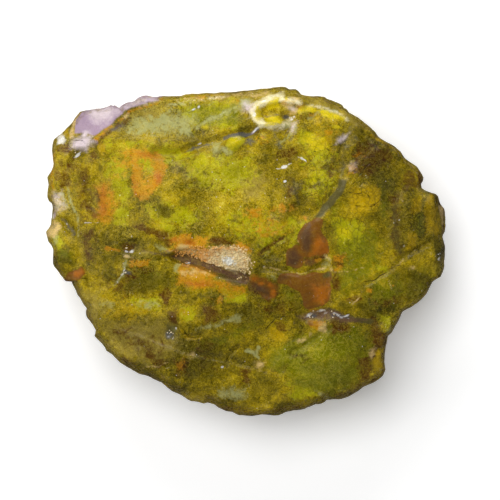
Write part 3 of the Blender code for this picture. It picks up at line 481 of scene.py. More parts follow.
        area(0.9, 0.5, (-36.5, -5.2), (-34.8, -3.6), (-32.6, -2.8), (-31.8, -4.5), (-33.5, -5.8),
             (-36, -6.4)),
        area(0.66, 0.9, (0.8, -4), (4, -4.6), (6.8, -6.4), (6.4, -9.8), (3.6, -9.6), (1, -6.8)),
    ],
    "plum": [
        area(0.95, 0.9, (10.4, 3.4), (12.4, 5.6), (13.4, 3.2), (12.4, 0.4), (11.2, 0.6)),
        area(0.9, 0.9, (9.6, 1), (8.2, -0.2), (8, -2.2), (10, -2.8), (11, -1)),
        spot(0.85, 0.6, 12.8, -2, 1.5, 0.6),
        area(0.56, 0.8, (1.4, -6), (4, -6.4), (5.6, -8.4), (3.4, -8.8), (1.8, -7.8)),
        spot(0.75, 0.7, 7.6, -5.2, 1.2, 0.6, 10), spot(0.6, 0.7, -29.6, 10.6, 0.7, 1.6, 20),
        streak(0.6, 0.15, 0.3, (-23, 20), (-22.8, 15), (-22.2, 11.4), (-21, 9.8)),
        streak(0.58, 0.12, 0.3, (-21.4, 14.6), (-21, 12.2), (-20, 10.6)),
        streak(0.56, 0.12, 0.3, (-23, 19.6), (-20.6, 19.8), (-18, 19)),
        streak(0.6, 0.2, 0.4, (-30.2, 13.2), (-29.4, 10), (-29, 7), (-29.6, 5.4)),
    ],
    "ember": [
        area(0.9, 1.1, (14.2, 3), (15.6, 2.2), (16.2, 0.6), (15.6, -0.4), (12.6, -0.7), (13.4, 1.2)),
        area(0.8, 1.4, (13.2, -6.4), (16.4, -6.2), (16.5, -9.4), (15.4, -10.4), (13.2, -9.8)),
        spot(0.95, 0.35, 0.6, -5.3, 0.7, 0.5), spot(0.9, 0.35, 3, -6.2, 0.6, 0.4),
        spot(0.9, 0.35, 5.6, -7.9, 0.6, 0.5), spot(0.85, 0.6, -17.4, 14.8, 0.9, 1.7, 8),
        spot(0.8, 0.6, -19.4, 19.2, 2.2, 0.6, -6), spot(0.5, 0.5, -21.9, 13, 0.6, 1.8, 5),
        spot(0.8, 0.6, -11.2, 1.7, 1.5, 0.9), spot(0.75, 0.7, -9.4, -6.2, 2.6, 0.8, -6),
        spot(0.5, 0.5, 10.6, 28, 0.7, 0.5), spot(0.75, 0.6, -33.4, -4.2, 1.4, 0.8, 15),
        spot(0.6, 0.7, -28.2, 8.6, 1.2, 2.4, -30), spot(0.7, 0.4, -3.4, -5.8, 1, 0.4, -15),
        spot(0.7, 0.4, -14.2, 2.2, 1.2, 0.5),
        streak(0.64, 0.25, 0.4, (-22.9, 20), (-22.8, 16.4), (-22.4, 12.6), (-21.4, 10.6)),
        area(0.56, 0.8, (-29.5, 13.8), (-27.8, 14), (-27, 8), (-28.7, 6.4)),
        spot(0.7, 0.5, 1.6, -5.2, 0.9, 0.5, -20), spot(0.7, 0.5, 4.8, -6.4, 0.9, 0.5, -40),
        spot(0.66, 0.5, 5.4, -8.6, 0.7, 0.7),
    ],
    "cream": [
        spot(0.85, 0.4, -24.3, 27.2, 0.9, 0.4, 30), spot(0.62, 0.8, 8.6, 29.4, 1.7, 0.9),
        spot(0.8, 0.5, 9.3, 27.8, 0.9, 0.7),
        streak(0.6, 0.5, 0.6, (-6, 31), (-2, 31.2), (2, 31.6), (4, 31.8)),
        streak(0.8, 0.5, 0.5, (-34.9, 23.5), (-34.6, 25.6), (-33.8, 27.6)),
        area(0.85, 0.7, (-40.4, 3), (-38.2, 3), (-36.9, 5), (-38, 6.4), (-40, 5.2)),
        area(0.85, 1.2, (-10, -0.6), (-7, 0.9), (-2.2, 1.2), (0.6, -0.2), (0.8, -2.8), (-0.4, -4.6),
             (-5, -3.4), (-8.4, -2.2)),
        area(0.62, 0.6, (-15.4, 0.2), (-12.4, 1.6), (-9.4, 0.6), (-10.6, -0.6), (-13.4, -0.2)),
        area(0.3, 0.9, (-6, -4.7), (1, -5.9), (0.8, -7.3), (-4.6, -6.3)),
        spot(0.9, 0.4, -1.9, -5.1, 0.9, 0.5, -20), spot(0.6, 0.9, 2.7, -22.3, 1.1, 1.3),
        spot(0.75, 0.8, 25.1, -20, 0.9, 1.1), spot(0.75, 0.7, 15.2, -14.9, 0.9, 1),
        area(0.6, 0.7, (9.4, -17.6), (12.6, -15.9), (13.2, -16.6), (10.6, -18.2)),
        area(0.48, 1, (19.8, 17.8), (21.6, 17.6), (22.6, 15.8), (20.6, 15.4)),
        streak(0.62, 0.12, 0.3, (10.2, 2.3), (11, 1), (11.5, -0.2)),
        streak(0.76, 0.12, 0.3, (3, -3.2), (5, -3.4), (6, -3.8), (8.5, -3.7), (10.5, -4.1), (12, -4),
               (13.5, -3.6), (15.5, -3)),
        streak(0.6, 0.12, 0.3, (17, -4), (20.5, -4), (22, -3.6), (23.2, -3.2), (24.4, -3.2)),
        streak(0.58, 0.15, 0.4, (11.4, -18.8), (14, -17), (16.2, -15.4)),
        streak(0.55, 0.15, 0.35, (29, -2.9), (30.5, -2.2), (32, -0.5), (34, 0.2), (35.5, 1.2), (37, 1.9)),
        streak(0.55, 0.2, 0.25, (-21, -23.5), (-18, -22.7), (-15, -21.8)),
        streak(0.8, 0.5, 0.4, (39.3, 9), (39.5, 7.5), (39.4, 6)),
        spot(0.85, 0.35, -23.5, -0.6, 0.9, 0.3, -10),
        area(0.45, 0.8, (11, -13), (12.4, -12), (16.6, -11.2), (16.4, -13.4), (13, -14.2)),
        spot(0.6, 0.7, 33, -3, 0.8, 0.5),
        streak(0.75, 0.18, 0.2, (28.4, -5.8), (28.7, -6.8), (29.1, -7.8)),
        streak(0.7, 0.18, 0.2, (21, -10.3), (22.6, -8.6)),
        spot(0.6, 0.8, -10.4, -20.2, 1.6, 0.8, 30),
        streak(0.6, 0.7, 0.7, (7.4, 30.2), (9.2, 29.9), (10.6, 29.3)),
        streak(0.62, 0.3, 0.5, (15.2, -0.6), (16.6, -1.6), (16.8, -3.8)),
        area(0.5, 0.9, (-13.2, -2.9), (-9, -3.3), (-6.4, -4.3), (-8, -4.9), (-13, -4.5)),
        area(0.74, 0.6, (5, 31), (10.6, 30.4), (10.8, 29), (7, 29.6)),
        streak(0.6, 0.25, 0.4, (-14, 30.2), (-10, 30.8), (-6, 31)),
        spot(0.6, 0.3, -12.4, 30.4, 0.8, 0.3, 5),
    ],
    "ivory": [
        streak(0.92, 0.9, 0.6, (3, 25.2), (1.9, 26.4), (1.5, 27.8), (2.5, 29.3), (4.6, 30.3), (7, 30.7)),
        streak(0.85, 0.5, 0.5, (7.4, 25.2), (5, 24.8), (3, 25.2)),
        spot(0.5, 0.6, 8, 25.6, 1.1, 0.9),
        streak(0.74, 0.3, 0.5, (11.6, 28.9), (14.4, 28.8), (18.4, 27.6), (20, 26.4)),
        streak(0.5, 0.3, 0.5, (-14, 29.6), (-9, 30.6), (-4, 31)),
        spot(0.6, 0.5, -1.6, 22.8, 0.8, 0.4, 30),
        streak(0.76, 0.5, 0.6, (6.8, 30.6), (8.6, 30.2), (10.4, 29.4)),
        spot(0.7, 0.4, -2.3, -3.9, 1.2, 0.5, -30), spot(0.62, 0.5, 6.4, 24.7, 1.6, 0.5, 5),
        area(0.55, 0.8, (-13.6, -0.2), (-9.4, -1.2), (-8.4, 0.2), (-11, 0.8)),
    ],
    "sulphur": [
        spot(0.95, 0.5, 2.5, 27.4, 0.8, 1.5),
        area(0.95, 0.5, (4.2, 28.4), (4.3, 29.8), (6.8, 30.2), (7, 28.9)),
        spot(0.9, 0.5, 5.4, 26.2, 1.7, 0.7, 5), spot(0.75, 0.35, 4.2, 24.9, 0.9, 0.3),
        spot(0.7, 0.3, 8.2, 30.6, 0.35, 0.5), spot(0.85, 0.45, 12.6, 28.4, 1.5, 0.6, -10),
        area(0.97, 0.6, (14.4, 28), (16, 28), (19.6, 26.8), (19, 26), (15.4, 26.6)),
        spot(1, 0.3, 18, 24.8, 0.8, 0.35), spot(0.62, 0.5, -2.4, 21.6, 1.6, 1, 40),
        spot(0.6, 0.6, 12.6, 22.6, 2, 1.2, 30), spot(0.6, 0.6, -8.2, 24.6, 1.2, 0.7),
        area(0.55, 1, (17.4, 5.6), (21.4, 5), (20.4, 2.4), (17.6, 3)),
        spot(0.8, 0.5, 11.2, 28.1, 1.2, 0.6), spot(0.6, 0.6, 14.6, 21.6, 2.2, 1.6),
        spot(0.8, 0.3, 2.4, 28.7, 0.5, 0.5), spot(0.75, 0.4, 6.2, 30.3, 0.9, 0.4),
        spot(0.8, 0.3, 5, 25.3, 1, 0.3),
    ],
    "taupe": [
        streak(0.62, 0.4, 0.6, (20.6, 25.2), (20, 22.6), (19.5, 20), (19.6, 17), (19.4, 14.6)),
        area(0.97, 0.4, (18.4, 14.8), (20.2, 14.4), (19.9, 12.4), (19.2, 11.2), (17.4, 9.2), (15.8, 7.9),
             (14.6, 6.9), (13.4, 6.8), (14.2, 8), (15.8, 9.8), (17.6, 11.8), (18.4, 13)),
        streak(0.9, 0.6, 0.5, (16.8, -11.8), (19, -13), (22, -13.4), (24.8, -14)),
        area(0.6, 1.4, (28.2, 10), (30.6, 10), (31.8, 0), (29.8, -1.6), (28.8, 2)),
        spot(0.8, 0.6, 15.9, -4.4, 0.9, 0.7),
        area(0.6, 0.8, (-16.6, -13.8), (-13.4, -14), (-13.6, -17.6), (-16, -17.6)),
        streak(0.6, 0.5, 0.6, (9.6, 15), (9.8, 12), (10.4, 9.4)),
        area(0.8, 0.9, (-6.4, -4), (-0.4, -5.2), (0.6, -6.4), (-2, -6.6), (-5.6, -5.6)),
    ],
    # Painted shade in part: the dark brown of the slit's floor, the small vug and the crevices also stands
    # for the shade that falls in them.
    "bed": [
        streak(0.64, 0.3, 0.5, (-20.6, 0.5), (-18, 0.1), (-16, -0.7), (-14.4, -1)),
        area(0.97, 0.45, (-14.8, -0.8), (-13.2, -0.2), (-11, -0.6), (-9, -1.6), (-6.2, -2.5), (-4.4, -3.4),
             (-0.2, -4.1), (1, -5.2), (0.6, -6.6), (-2.5, -5.5), (-6, -4.1), (-9.4, -2.9), (-12.5, -2.4)),
        area(0.52, 1, (0.4, -4.8), (3.4, -6.6), (5.4, -9), (2.2, -8.2), (0, -6.4)),
        area(0.62, 1, (-6.2, -3.6), (-0.4, -5), (0.4, -6.4), (-3.6, -6.2)),
        area(0.8, 0.8, (10.2, -12.6), (13, -11.3), (17, -11.4), (20.5, -12.6), (24.6, -13.6), (20, -14.2),
             (14, -13.4), (11, -13.6)),
        area(0.58, 1, (-13, -1.8), (-9, -2.4), (-5.4, -3.7), (-6.2, -4.8), (-10, -3.7), (-13.4, -3)),
    ],
    "slate": [
        spot(0.62, 1.4, -26, 24.6, 2.4, 1.2, 25),
        streak(0.58, 0.16, 0.4, (-17.9, 19.8), (-17, 19.3), (-16, 19.1), (-14, 19.2), (-13, 19.6), (-12, 20)),
        streak(0.72, 0.3, 0.4, (-11.6, 20.2), (-10.5, 20.6), (-9, 21.1), (-7.2, 21.6)),
        streak(0.92, 0.34, 0.3, (-4.2, 22.5), (-3, 23), (-1.5, 23.4), (0, 23.5), (1, 23.6), (2.3, 24.2)),
        area(0.62, 0.9, (-0.8, 21), (2, 21.6), (1.4, 23), (-0.6, 22.8)),
        streak(0.62, 0.25, 0.5, (6.2, 20.4), (7.5, 21.7), (9.5, 23.4)),
        streak(0.55, 0.25, 0.5, (7.6, 23.4), (8.6, 24.6)),
        streak(0.7, 0.25, 0.4, (3.8, 26.9), (6.2, 27.3)),
        spot(0.85, 0.5, 7.8, 26.9, 0.9, 0.5),
        streak(0.6, 0.4, 0.6, (5.4, 24.2), (6.2, 22.6), (6.8, 21.2)),
        spot(0.85, 0.5, -23.3, -3.9, 0.9, 0.5, -20),
        streak(0.66, 0.5, 0.5, (-36.5, 6.3), (-35.5, 5), (-34.3, 3.6)),
        spot(0.8, 0.5, 13.3, -12.5, 0.9, 0.5),
        streak(0.6, 0.4, 0.4, (17, -12.6), (20.4, -13)),
        spot(0.6, 0.8, 39, -1, 0.8, 1.6),
        area(0.6, 0.9, (-17.2, 0.8), (-15.2, 0.6), (-15.4, -0.6), (-17, -0.2)),
        spot(0.62, 0.4, -1.4, -3.3, 1.2, 0.7, -40), spot(0.66, 0.5, -15.2, -16.4, 1.2, 0.9),
    ],
    "lilac": [
        area(0.97, 0.5, (-34.2, 24), (-31.6, 23.6), (-30.2, 22.9), (-28.7, 24.6), (-27, 25.7),
             (-26.4, 26.6), (-24.6, 28.2), (-22, 29.2), (-20, 29.9), (-17.5, 30.2), (-16.6, 31.6),
             (-20, 32), (-22, 31.4), (-24, 30.6), (-26, 29.6), (-28, 29.6), (-31, 29.2), (-33, 28),
             (-34.2, 26.5)),
        spot(0.6, 0.7, -38.4, 7.6, 0.8, 1.5), spot(0.6, 0.3, 1.4, 23.9, 1, 0.4, 30),
    ],
    "rose": [
        area(0.9, 1.4, (-31.2, 26.8), (-29.4, 25.4), (-27.3, 26.4), (-26.4, 28.8), (-28.5, 29.4),
             (-31.2, 28.8)),
        area(0.76, 1, (-35.2, 20.8), (-32, 20.2), (-30, 22), (-31, 23.3), (-34.8, 23.2)),
        spot(0.8, 0.6, -32.2, 23.4, 0.9, 0.7, 40), spot(0.42, 0.8, 21.4, 16.9, 0.7, 1.2),
        area(0.8, 0.8, (17.8, 21.3), (19.6, 22), (20.8, 24), (20.2, 24), (18.3, 22.4)),
        streak(0.62, 0.9, 1.2, (-31, 27.8), (-26.4, 28.2), (-22, 30.2), (-18.4, 31)),
        area(0.46, 0.9, (-39.2, 12.4), (-36.6, 12.2), (-35.6, 8.4), (-38.6, 6.8)),
        area(0.5, 0.8, (8.6, 26), (10.6, 26), (9.8, 23), (8.4, 24)),
        area(0.58, 0.9, (-0.8, 27.4), (1.6, 27.4), (1.8, 29.6), (-0.4, 30)),
        spot(0.6, 0.5, 9.2, 28.6, 1.2, 0.6, -20),
    ],
    # Chalky chips and spots, partly painted glints: many small spots stand for highlights on grains, and the
    # patch at -3.2, -1.6 in the druse stands for its bright highlight.
    "chalk_and_painted_glints": [
        area(0.75, 0.7, (-38.2, 22), (-36.4, 21.8), (-35.6, 22.8), (-36.8, 23.8), (-38.4, 23.4)),
        spot(0.9, 0.3, -33.9, 19.5, 0.9, 0.3, 50), spot(1, 0.25, 7.7, 17, 0.55, 0.3, 15),
        streak(0.85, 0.12, 0.2, (6.4, 16.6), (7.7, 17), (9.2, 17.9)),
        streak(0.75, 0.1, 0.2, (10.6, 19.2), (12.3, 18)),
        streak(0.9, 0.16, 0.2, (11.3, 18.9), (12, 18.3)),
        spot(1, 0.2, 7.7, 14.3, 0.35, 0.25), spot(0.9, 0.2, 9.2, 26.2, 0.4, 0.3),
        spot(0.9, 0.2, 9.6, 26.7, 0.3, 0.25), spot(0.9, 0.2, -10.3, 28.3, 0.5, 0.18, 30),
        spot(0.9, 0.2, -9.5, 28.9, 0.4, 0.18, 60), spot(0.9, 0.2, -9, 21.8, 0.4, 0.2, 20),
        spot(0.9, 0.4, -3.2, -1.6, 0.7, 0.5, -25), spot(0.9, 0.3, -5.2, -1.6, 0.5, 0.3),
        spot(0.9, 0.25, -23.4, 0.5, 0.35, 0.25), spot(0.9, 0.25, -22.4, 0.4, 0.35, 0.25),
        streak(0.8, 0.14, 0.3, (-24, -2), (-23.8, -3), (-24.2, -4), (-25, -4.8), (-25.8, -6)),
        spot(0.8, 0.2, -14.3, -17, 0.3, 0.15, 40), spot(0.8, 0.2, -13.9, -15, 0.25, 0.15, -40),
        spot(0.5, 0.7, -15.4, -16.6, 0.7, 0.7), spot(0.8, 0.12, 38.7, -0.5, 0.12, 0.2),
        spot(0.8, 0.2, 38.4, -1.4, 0.2, 0.3),
        streak(0.8, 0.08, 0.2, (-32.2, 5.8), (-30.3, 5.9)),
        streak(0.8, 0.08, 0.2, (-30, 5.9), (-28.8, 5.7)),
        spot(0.8, 0.15, 30.7, 12.3, 0.14, 0.14), spot(0.9, 0.18, 31, 10.4, 0.18, 0.22),
        spot(0.8, 0.15, 30.7, 6, 0.14, 0.14), spot(0.8, 0.18, 31.3, 1.3, 0.2, 0.2),
        spot(0.7, 0.4, 12.4, -12.4, 0.8, 0.4, 35), spot(0.7, 0.4, 15.4, -11.7, 0.9, 0.35, 10),
        streak(0.6, 0.3, 0.3, (17.4, -12.3), (19, -12.9), (20.3, -12.6)),
        spot(0.9, 0.2, 23, -18.8, 0.2, 0.2), spot(0.8, 0.2, -4.8, -22.7, 0.3, 0.25),
        spot(0.8, 0.2, 3.4, -3, 0.3, 0.2), spot(0.9, 0.3, -11.9, -2.2, 0.5, 0.25),
        spot(0.9, 0.3, 1.9, 24.2, 0.9, 0.3, 30), spot(0.6, 0.3, -37.6, 10.4, 0.6, 0.3),
        spot(0.64, 0.4, -38.8, 7.2, 0.5, 1), spot(0.85, 0.2, -35.9, 5.4, 0.3, 0.15, -50),
        spot(0.85, 0.2, -34.9, 4.3, 0.25, 0.15, -50),
        streak(0.66, 0.12, 0.3, (-37.6, 12), (-36.4, 10.6), (-36, 8.8)),
        spot(0.7, 0.2, -28.2, 22.8, 0.3, 0.12, 60), spot(0.7, 0.2, -30.6, 21.4, 0.3, 0.12, -30),
        streak(0.66, 0.1, 0.3, (11.4, -13.2), (12.6, -12.2), (14, -11.8), (15.8, -12), (17.4, -12.8),
               (19.4, -12.2)),
        streak(0.62, 0.1, 0.3, (14, -13), (15.6, -12.6), (17, -11.8), (18.6, -13), (20.6, -13.2)),
        spot(0.8, 0.3, 1.7, 27, 0.4, 0.6), spot(0.75, 0.3, 3.6, 30.1, 0.7, 0.3, 20),
    ],
}  # fmt: skip

# Broad grounds where the face is darker or paler, partly its own tone and partly painted shade and painted
# light, and where dark threads net it.
TONES_AND_PAINTED_LIGHT = {
    # Darker grounds, partly painted shade: the face is darkened toward the east and the south and along the
    # north and east edges of the rim, as it would be in shadow.
    "dark": [
        area(0.9, 5, (19.5, 26), (31, 20), (37, 16), (40, 8), (40, -6), (34, -11), (30, -4), (28.6, 10),
             (24, 14), (20.5, 15)),
        area(0.75, 4, (20, -8), (36, -6), (32, -12), (28, -20), (26, -26), (22, -20), (18, -14)),
        area(0.7, 4, (-30, -13), (-14, -12), (-4, -10), (4, -9), (6, -14), (0, -20), (4, -26), (0, -33),
             (-14, -29), (-24, -23)),
        area(0.6, 3, (4, -26), (26, -24), (24, -30), (4, -34)),
        area(0.6, 2.4, (-33, 5), (-26, 6), (-16, 4.4), (-15, 1), (-20, -6), (-30, -6), (-33, -2)),
        area(0.5, 2.5, (7, 21), (11, 20), (10.5, 8), (6.5, 8)),
        area(0.55, 2, (4.4, 3.4), (9.4, 3), (8, -3), (3.4, -3.4), (1.6, -0.6)),
        area(0.6, 2, (0.6, -3.4), (7.4, -4), (10, -11), (3, -12), (-3, -7.4)),
        area(0.5, 2, (-37.6, 20), (-31, 20), (-30, 8), (-34, 8)),
        area(0.5, 1.5, (-17.5, 10), (-14.6, 10), (-14.4, 7), (-17.5, 7)),
        spot(0.6, 1.6, -8.6, 13, 2.4, 1.6, 40), spot(0.5, 1.6, -12, 16.4, 3, 1.2, 15),
        # Painted shade along the north and the east edge of the rim.
        streak(0.6, 1.2, 1.2, (-4, 32.6), (4, 32.8), (10, 32.2)),
        streak(0.6, 1, 1.2, (36.6, 12.6), (39.6, 8), (39.8, 2)),
        spot(0.6, 1.5, -39, -3, 1.5, 3), spot(0.5, 1, 1.6, 0, 1.2, 1.5), spot(0.5, 1, 13, -14, 3, 1),
        spot(0.4, 1.5, 22, -9, 3, 2), spot(0.5, 2, 20.5, -9, 4, 2.4), spot(0.5, 2, 12, -17, 4, 2),
        spot(0.5, 1.4, 6.4, 7.6, 2.6, 1.8), spot(0.5, 1.4, 21.4, 17.4, 1.6, 2),
        spot(0.8, 1.2, 21.5, -9, 1.8, 1.2), spot(0.9, 0.8, -38.6, 9.6, 1, 1.6),
        spot(0.7, 1, -3.5, 15.6, 2, 0.8, 10), spot(0.7, 1, 5.4, 11.4, 0.8, 1.8, -8),
        spot(0.7, 1, -10.4, 10.6, 1.6, 0.8, 20),
        area(0.5, 3, (32, 14), (40, 12), (40.4, -5), (34, -10), (31.6, 0)),
    ],
    # Paler grounds, partly painted light: the upper band, the facets that face north and the roll's crest are
    # lifted as if lit, and so are stretches of the rim whose turn lies in shade.
    "pale": [
        area(0.8, 4, (-24, 23.5), (-2, 24), (-1, 32), (-20, 31)),
        area(0.9, 2.4, (2, 24.6), (11.6, 24.6), (18, 26), (12, 31), (2, 31)),
        area(0.8, 3, (-8, 17), (5, 17), (5.4, 10), (-2, 7), (-9, 9.6)),
        area(0.5, 3, (-25, 20), (-17, 20), (-16, 13), (-24, 6)),
        area(0.6, 2, (10, 24.4), (16.4, 24.4), (16, 20), (10, 20)),
        area(0.5, 2, (-19, 8), (-11, 8), (-8, 3.6), (-18, 4)),
        area(0.5, 2, (-34, -7), (-18, -7.4), (-17, -12), (-30, -13)),
        area(0.6, 1.6, (-39, 12), (-35, 12), (-35, 7), (-39.6, 6)),
        area(0.9, 2, (-20, 28), (-8, 28), (-8, 32), (-20, 32)),
        area(0.9, 2, (11.5, 24.5), (20, 24), (20, 29), (11.5, 30)),
        spot(0.6, 1.5, 8, 19.6, 2, 2), spot(0.6, 2, -14, 12, 2.6, 2), spot(0.6, 2, -20, -2, 3, 2),
        spot(0.7, 1.5, -37, 7, 2, 3),
        area(0.5, 3, (6, -18), (20, -16), (21, -26), (8, -27)),
        area(0.7, 1.6, (1, 20), (11, 20), (12, 27), (1, 27)),
        area(0.7, 1.6, (-40, 24), (-34.6, 24), (-34.6, 8), (-40, 8)),
        spot(0.7, 1.2, -6, 24.5, 3, 1.4), spot(0.9, 1.6, -38, 7, 2, 4), spot(0.6, 1.6, -13.6, 0.6, 3, 1.2),
        spot(0.6, 1.6, -8, 4.6, 4, 2), spot(0.9, 0.8, 3.6, 25, 1.6, 0.8), spot(0.8, 1, -6, 22.6, 1.6, 1.6),
        spot(0.9, 0.7, 8.4, 17, 1.2, 0.7), spot(0.6, 1, 14, 27.4, 2, 1), spot(0.7, 1, -24, 3.5, 2, 1),
        spot(0.9, 0.8, -37.8, 5.4, 1, 1.6), spot(0.6, 1, -0.4, -9, 1.6, 1),
        streak(0.9, 0.6, 0.8, (3, 25.2), (1.9, 26.4), (1.5, 27.8), (2.5, 29.3), (4.6, 30.3), (7, 30.7),
               (10, 29.4)),
        # Painted light along the rim, lifting the shade of its turn.
        streak(0.7, 1, 1.2, (-24, 30.6), (-10, 31.8), (4, 33), (12, 31.4), (20, 27.8)),
        streak(0.7, 1, 1, (-34, -8), (-30.4, -15), (-26, -19.8)),
        streak(0.9, 1, 1, (39.6, -2), (37.8, -7), (31.8, -11.4), (28.8, -15), (28.4, -22), (24, -28.4),
               (14, -31)),
        spot(0.8, 1.6, -7, 27.4, 5, 1.8), spot(0.9, 0.8, 4.4, 24.4, 2.4, 0.8),
        area(0.6, 1.4, (11, 30), (20, 27), (19, 25), (11, 27)),
        spot(0.9, 0.8, -37.4, 5.6, 1.4, 1.6), spot(0.7, 0.8, 12.6, 28.4, 2, 1),
        spot(0.9, 0.6, -15, 0.3, 1.6, 0.6),
        area(0.7, 1, (-12, 31.6), (12, 31.6), (12, 33.4), (-12, 33)),
        spot(0.7, 1, -6.6, 10.8, 2, 1, 10), spot(0.7, 1, 2.8, 13, 1.4, 1.4),
        spot(0.7, 1, -1.4, 18.6, 2.4, 0.8),
        # Painted light along the lower rim, lifting the shade of its turn.
        streak(0.8, 0.8, 0.8, (-14, -28.2), (-4, -31.6), (6, -32.4), (16, -30), (24, -27), (27.4, -23.4),
               (27.8, -19)),
    ],
    "net": [
        area(0.9, 1.6, (11, 22), (18.6, 21), (18.6, 14), (15.6, 9.4), (11.4, 9)),
        area(0.95, 1.2, (16.8, 7.6), (24.4, 7), (25, 1), (20, -1), (17, 1.6)),
        area(0.9, 1.2, (20.4, 13.6), (27, 13), (27.6, 8), (21, 7.4)),
        area(0.7, 1.5, (31.6, 12), (36, 12), (38, 3), (33, 0)),
        area(0.6, 2, (-14, 29), (-2, 30), (-2, 24.6), (-10, 23.4)),
        area(0.6, 2, (-2, 20), (8, 20), (6, 12), (-1, 15)),
        area(0.6, 2, (20, -16), (26, -18), (24, -26), (16, -24)),
    ],
}  # fmt: skip

# Thin dark cracks drawn on the face.
CRACKS = [
    [(-34.6, 22.7), (-33.2, 22.6), (-31.8, 21.4)], [(-31.8, 12.5), (-30.5, 10), (-29.3, 8.2)],
    [(-30, 5.8), (-29.7, 3.5)], [(-15, 9.8), (-14.5, 9), (-13.5, 7.2), (-12.5, 6.3), (-11, 4)],
    [(-22.9, 16.6), (-22.6, 13.8), (-21.9, 11.2)], [(20.8, 11.7), (23, 12), (24.5, 11.3), (25, 10.5)],
    [(25, 9.7), (26.5, 10.2), (27, 10.9)], [(21, 9.2), (24, 9.2), (25.5, 9.6)],
    [(24, -6.3), (26, -5.5), (28, -4), (29, -3), (30.5, -2.3)],
    [(4.2, -15), (5.3, -14), (6.2, -13), (8, -12.5)],
    [(-1.6, -18.6), (-2.5, -19.6), (-3.3, -20.6), (-4, -21.8)],
    [(-13.5, -14.8), (-12.5, -16), (-11.8, -16.9), (-10.5, -16.9), (-9.2, -16.7)],
    [(9.6, 14.6), (9.9, 12), (10.4, 9.6), (11, 7.2)], [(13.6, 20), (16, 20.2), (18.6, 19.6)],
    [(7.6, -11.4), (10, -12.6), (11.8, -13.2)], [(24.6, 17.6), (22.6, 15.4), (21, 13.4)],
    [(-14.6, 29.9), (-11, 27.6), (-9.4, 28.9)], [(33.4, 3), (32.6, 6.4), (33.4, 9)],
    [(9, -20), (10.4, -20.3), (12.2, -20.2)], [(9.2, -20.3), (10.4, -20.6), (12.4, -20.5)],
]  # fmt: skip

# Small open spots with grains of druse in them: place, reach and number of grains.
DRUSE_SPOTS = [
    (-23, 0.8, 1.1, 6), (9.2, 26.4, 0.9, 14), (13.4, -12.4, 1.4, 9), (-15, -16, 1.1, 6),
    (-34.2, 20.2, 0.9, 7), (38.4, -1, 0.9, 2), (-23.8, -4, 0.5, 3), (16.6, -12.3, 1.4, 6),
    (-37.2, 22.7, 0.8, 6),
]  # fmt: skip

# Colours of the minerals under soft white light, as parts of 255.
PALETTE = {
    "olive": ("Olive ground", (140, 120, 6)),
    "mustard": ("Mustard clouds", (176, 150, 10)),
    "straw": ("Pale straw", (208, 190, 70)),
    "khaki": ("Khaki", (152, 132, 50)),
    "lime": ("Lime", (182, 176, 8)),
    "grass": ("Grass green", (116, 116, 3)),
    "gold": ("Gold", (188, 154, 6)),
    "umber": ("Umber", (96, 60, 8)),
    "moss": ("Moss", (96, 84, 3)),
    "milk": ("Milky green", (174, 172, 108)),
    "rust": ("Rust orange", (202, 138, 16)),
    "jasper": ("Chocolate jasper", (126, 80, 22)),
    "plum": ("Plum jasper", (96, 66, 40)),
    "ember": ("Ember orange", (184, 106, 22)),
    "cream": ("Cream", (230, 196, 128)),
    "ivory": ("Ivory", (242, 232, 188)),
    "sulphur": ("Sulphur yellow", (216, 194, 10)),
    "taupe": ("Taupe vein", (92, 84, 40)),
    "bed": ("Slit bed", (110, 80, 60)),
    "slate": ("Slate blue", (84, 86, 90)),
    "lilac": ("Lilac", (176, 152, 172)),
    "rose": ("Pale rose", (232, 214, 218)),
    "chalk_and_painted_glints": ("White glints", (250, 248, 244)),
    "rind": ("Rind", (114, 94, 30)),
    "crack": ("Crack", (46, 34, 14)),
    "druse": ("Druse", (255, 230, 156)),
    "frost": ("Frost", (255, 253, 240)),
    "peach": ("Stained druse", (250, 182, 76)),
}
LIGHT_ON_FACE = 1.12

STONE_SEED = 41
DRUSE_SEED = 7

# The druse's points: how deep they are rooted, where they crowd, and where a painted highlight, a bright
# patch, lies.
ROOT_DEPTH = 0.2
DRUSE_MIDDLE = (-3.4, -1.6)
PAINTED_HIGHLIGHT_MIDDLE = (-3.4, -1.5)


def linear(colour):
    """The surface colour that shows as these parts of 255 under the stage's light."""
    shown = np.array(colour) / 255.0
    light = np.where(shown <= 0.04045, shown / 12.92, ((shown + 0.055) / 1.055) ** 2.4)
    return tuple(float(part) for part in np.clip(light / LIGHT_ON_FACE, 0.0, 0.95))


class StoneShape(bpy.types.PropertyGroup):
    """Sizes of the stone's relief."""

    face_relief: bpy.props.FloatProperty(
        name="Face relief", description="Height of the face's hummocks", default=0.34 * MM, unit="LENGTH"
    )
    rind_relief: bpy.props.FloatProperty(
        name="Rind relief", description="Depth of the rind's scallops", default=1.1 * MM, unit="LENGTH"
    )
    grain: bpy.props.FloatProperty(
        name="Grain", description="Width of the face's hummocks", default=4.5 * MM, unit="LENGTH"
    )


class DruseShape(bpy.types.PropertyGroup):
    """Sizes of the quartz points."""

    width: bpy.props.FloatProperty(
        name="Point width", description="Mean width of a quartz point", default=0.4 * MM, unit="LENGTH"
    )
    length: bpy.props.FloatProperty(
        name="Point length", description="Mean length of a quartz point", default=0.42 * MM, unit="LENGTH"
    )
    count: bpy.props.IntProperty(
        name="Points", description="Number of quartz points in the slit", default=1900, min=50, max=4000
    )


class StonePalette(bpy.types.PropertyGroup):
    """Colours of the minerals."""

    __annotations__ = {
        key: bpy.props.FloatVectorProperty(
            name=label,
            description="Surface colour of the mineral",
            default=linear(colour),
            subtype="COLOR",
            min=0.0,
            max=1.0,
        )
        for key, (label, colour) in PALETTE.items()
    }


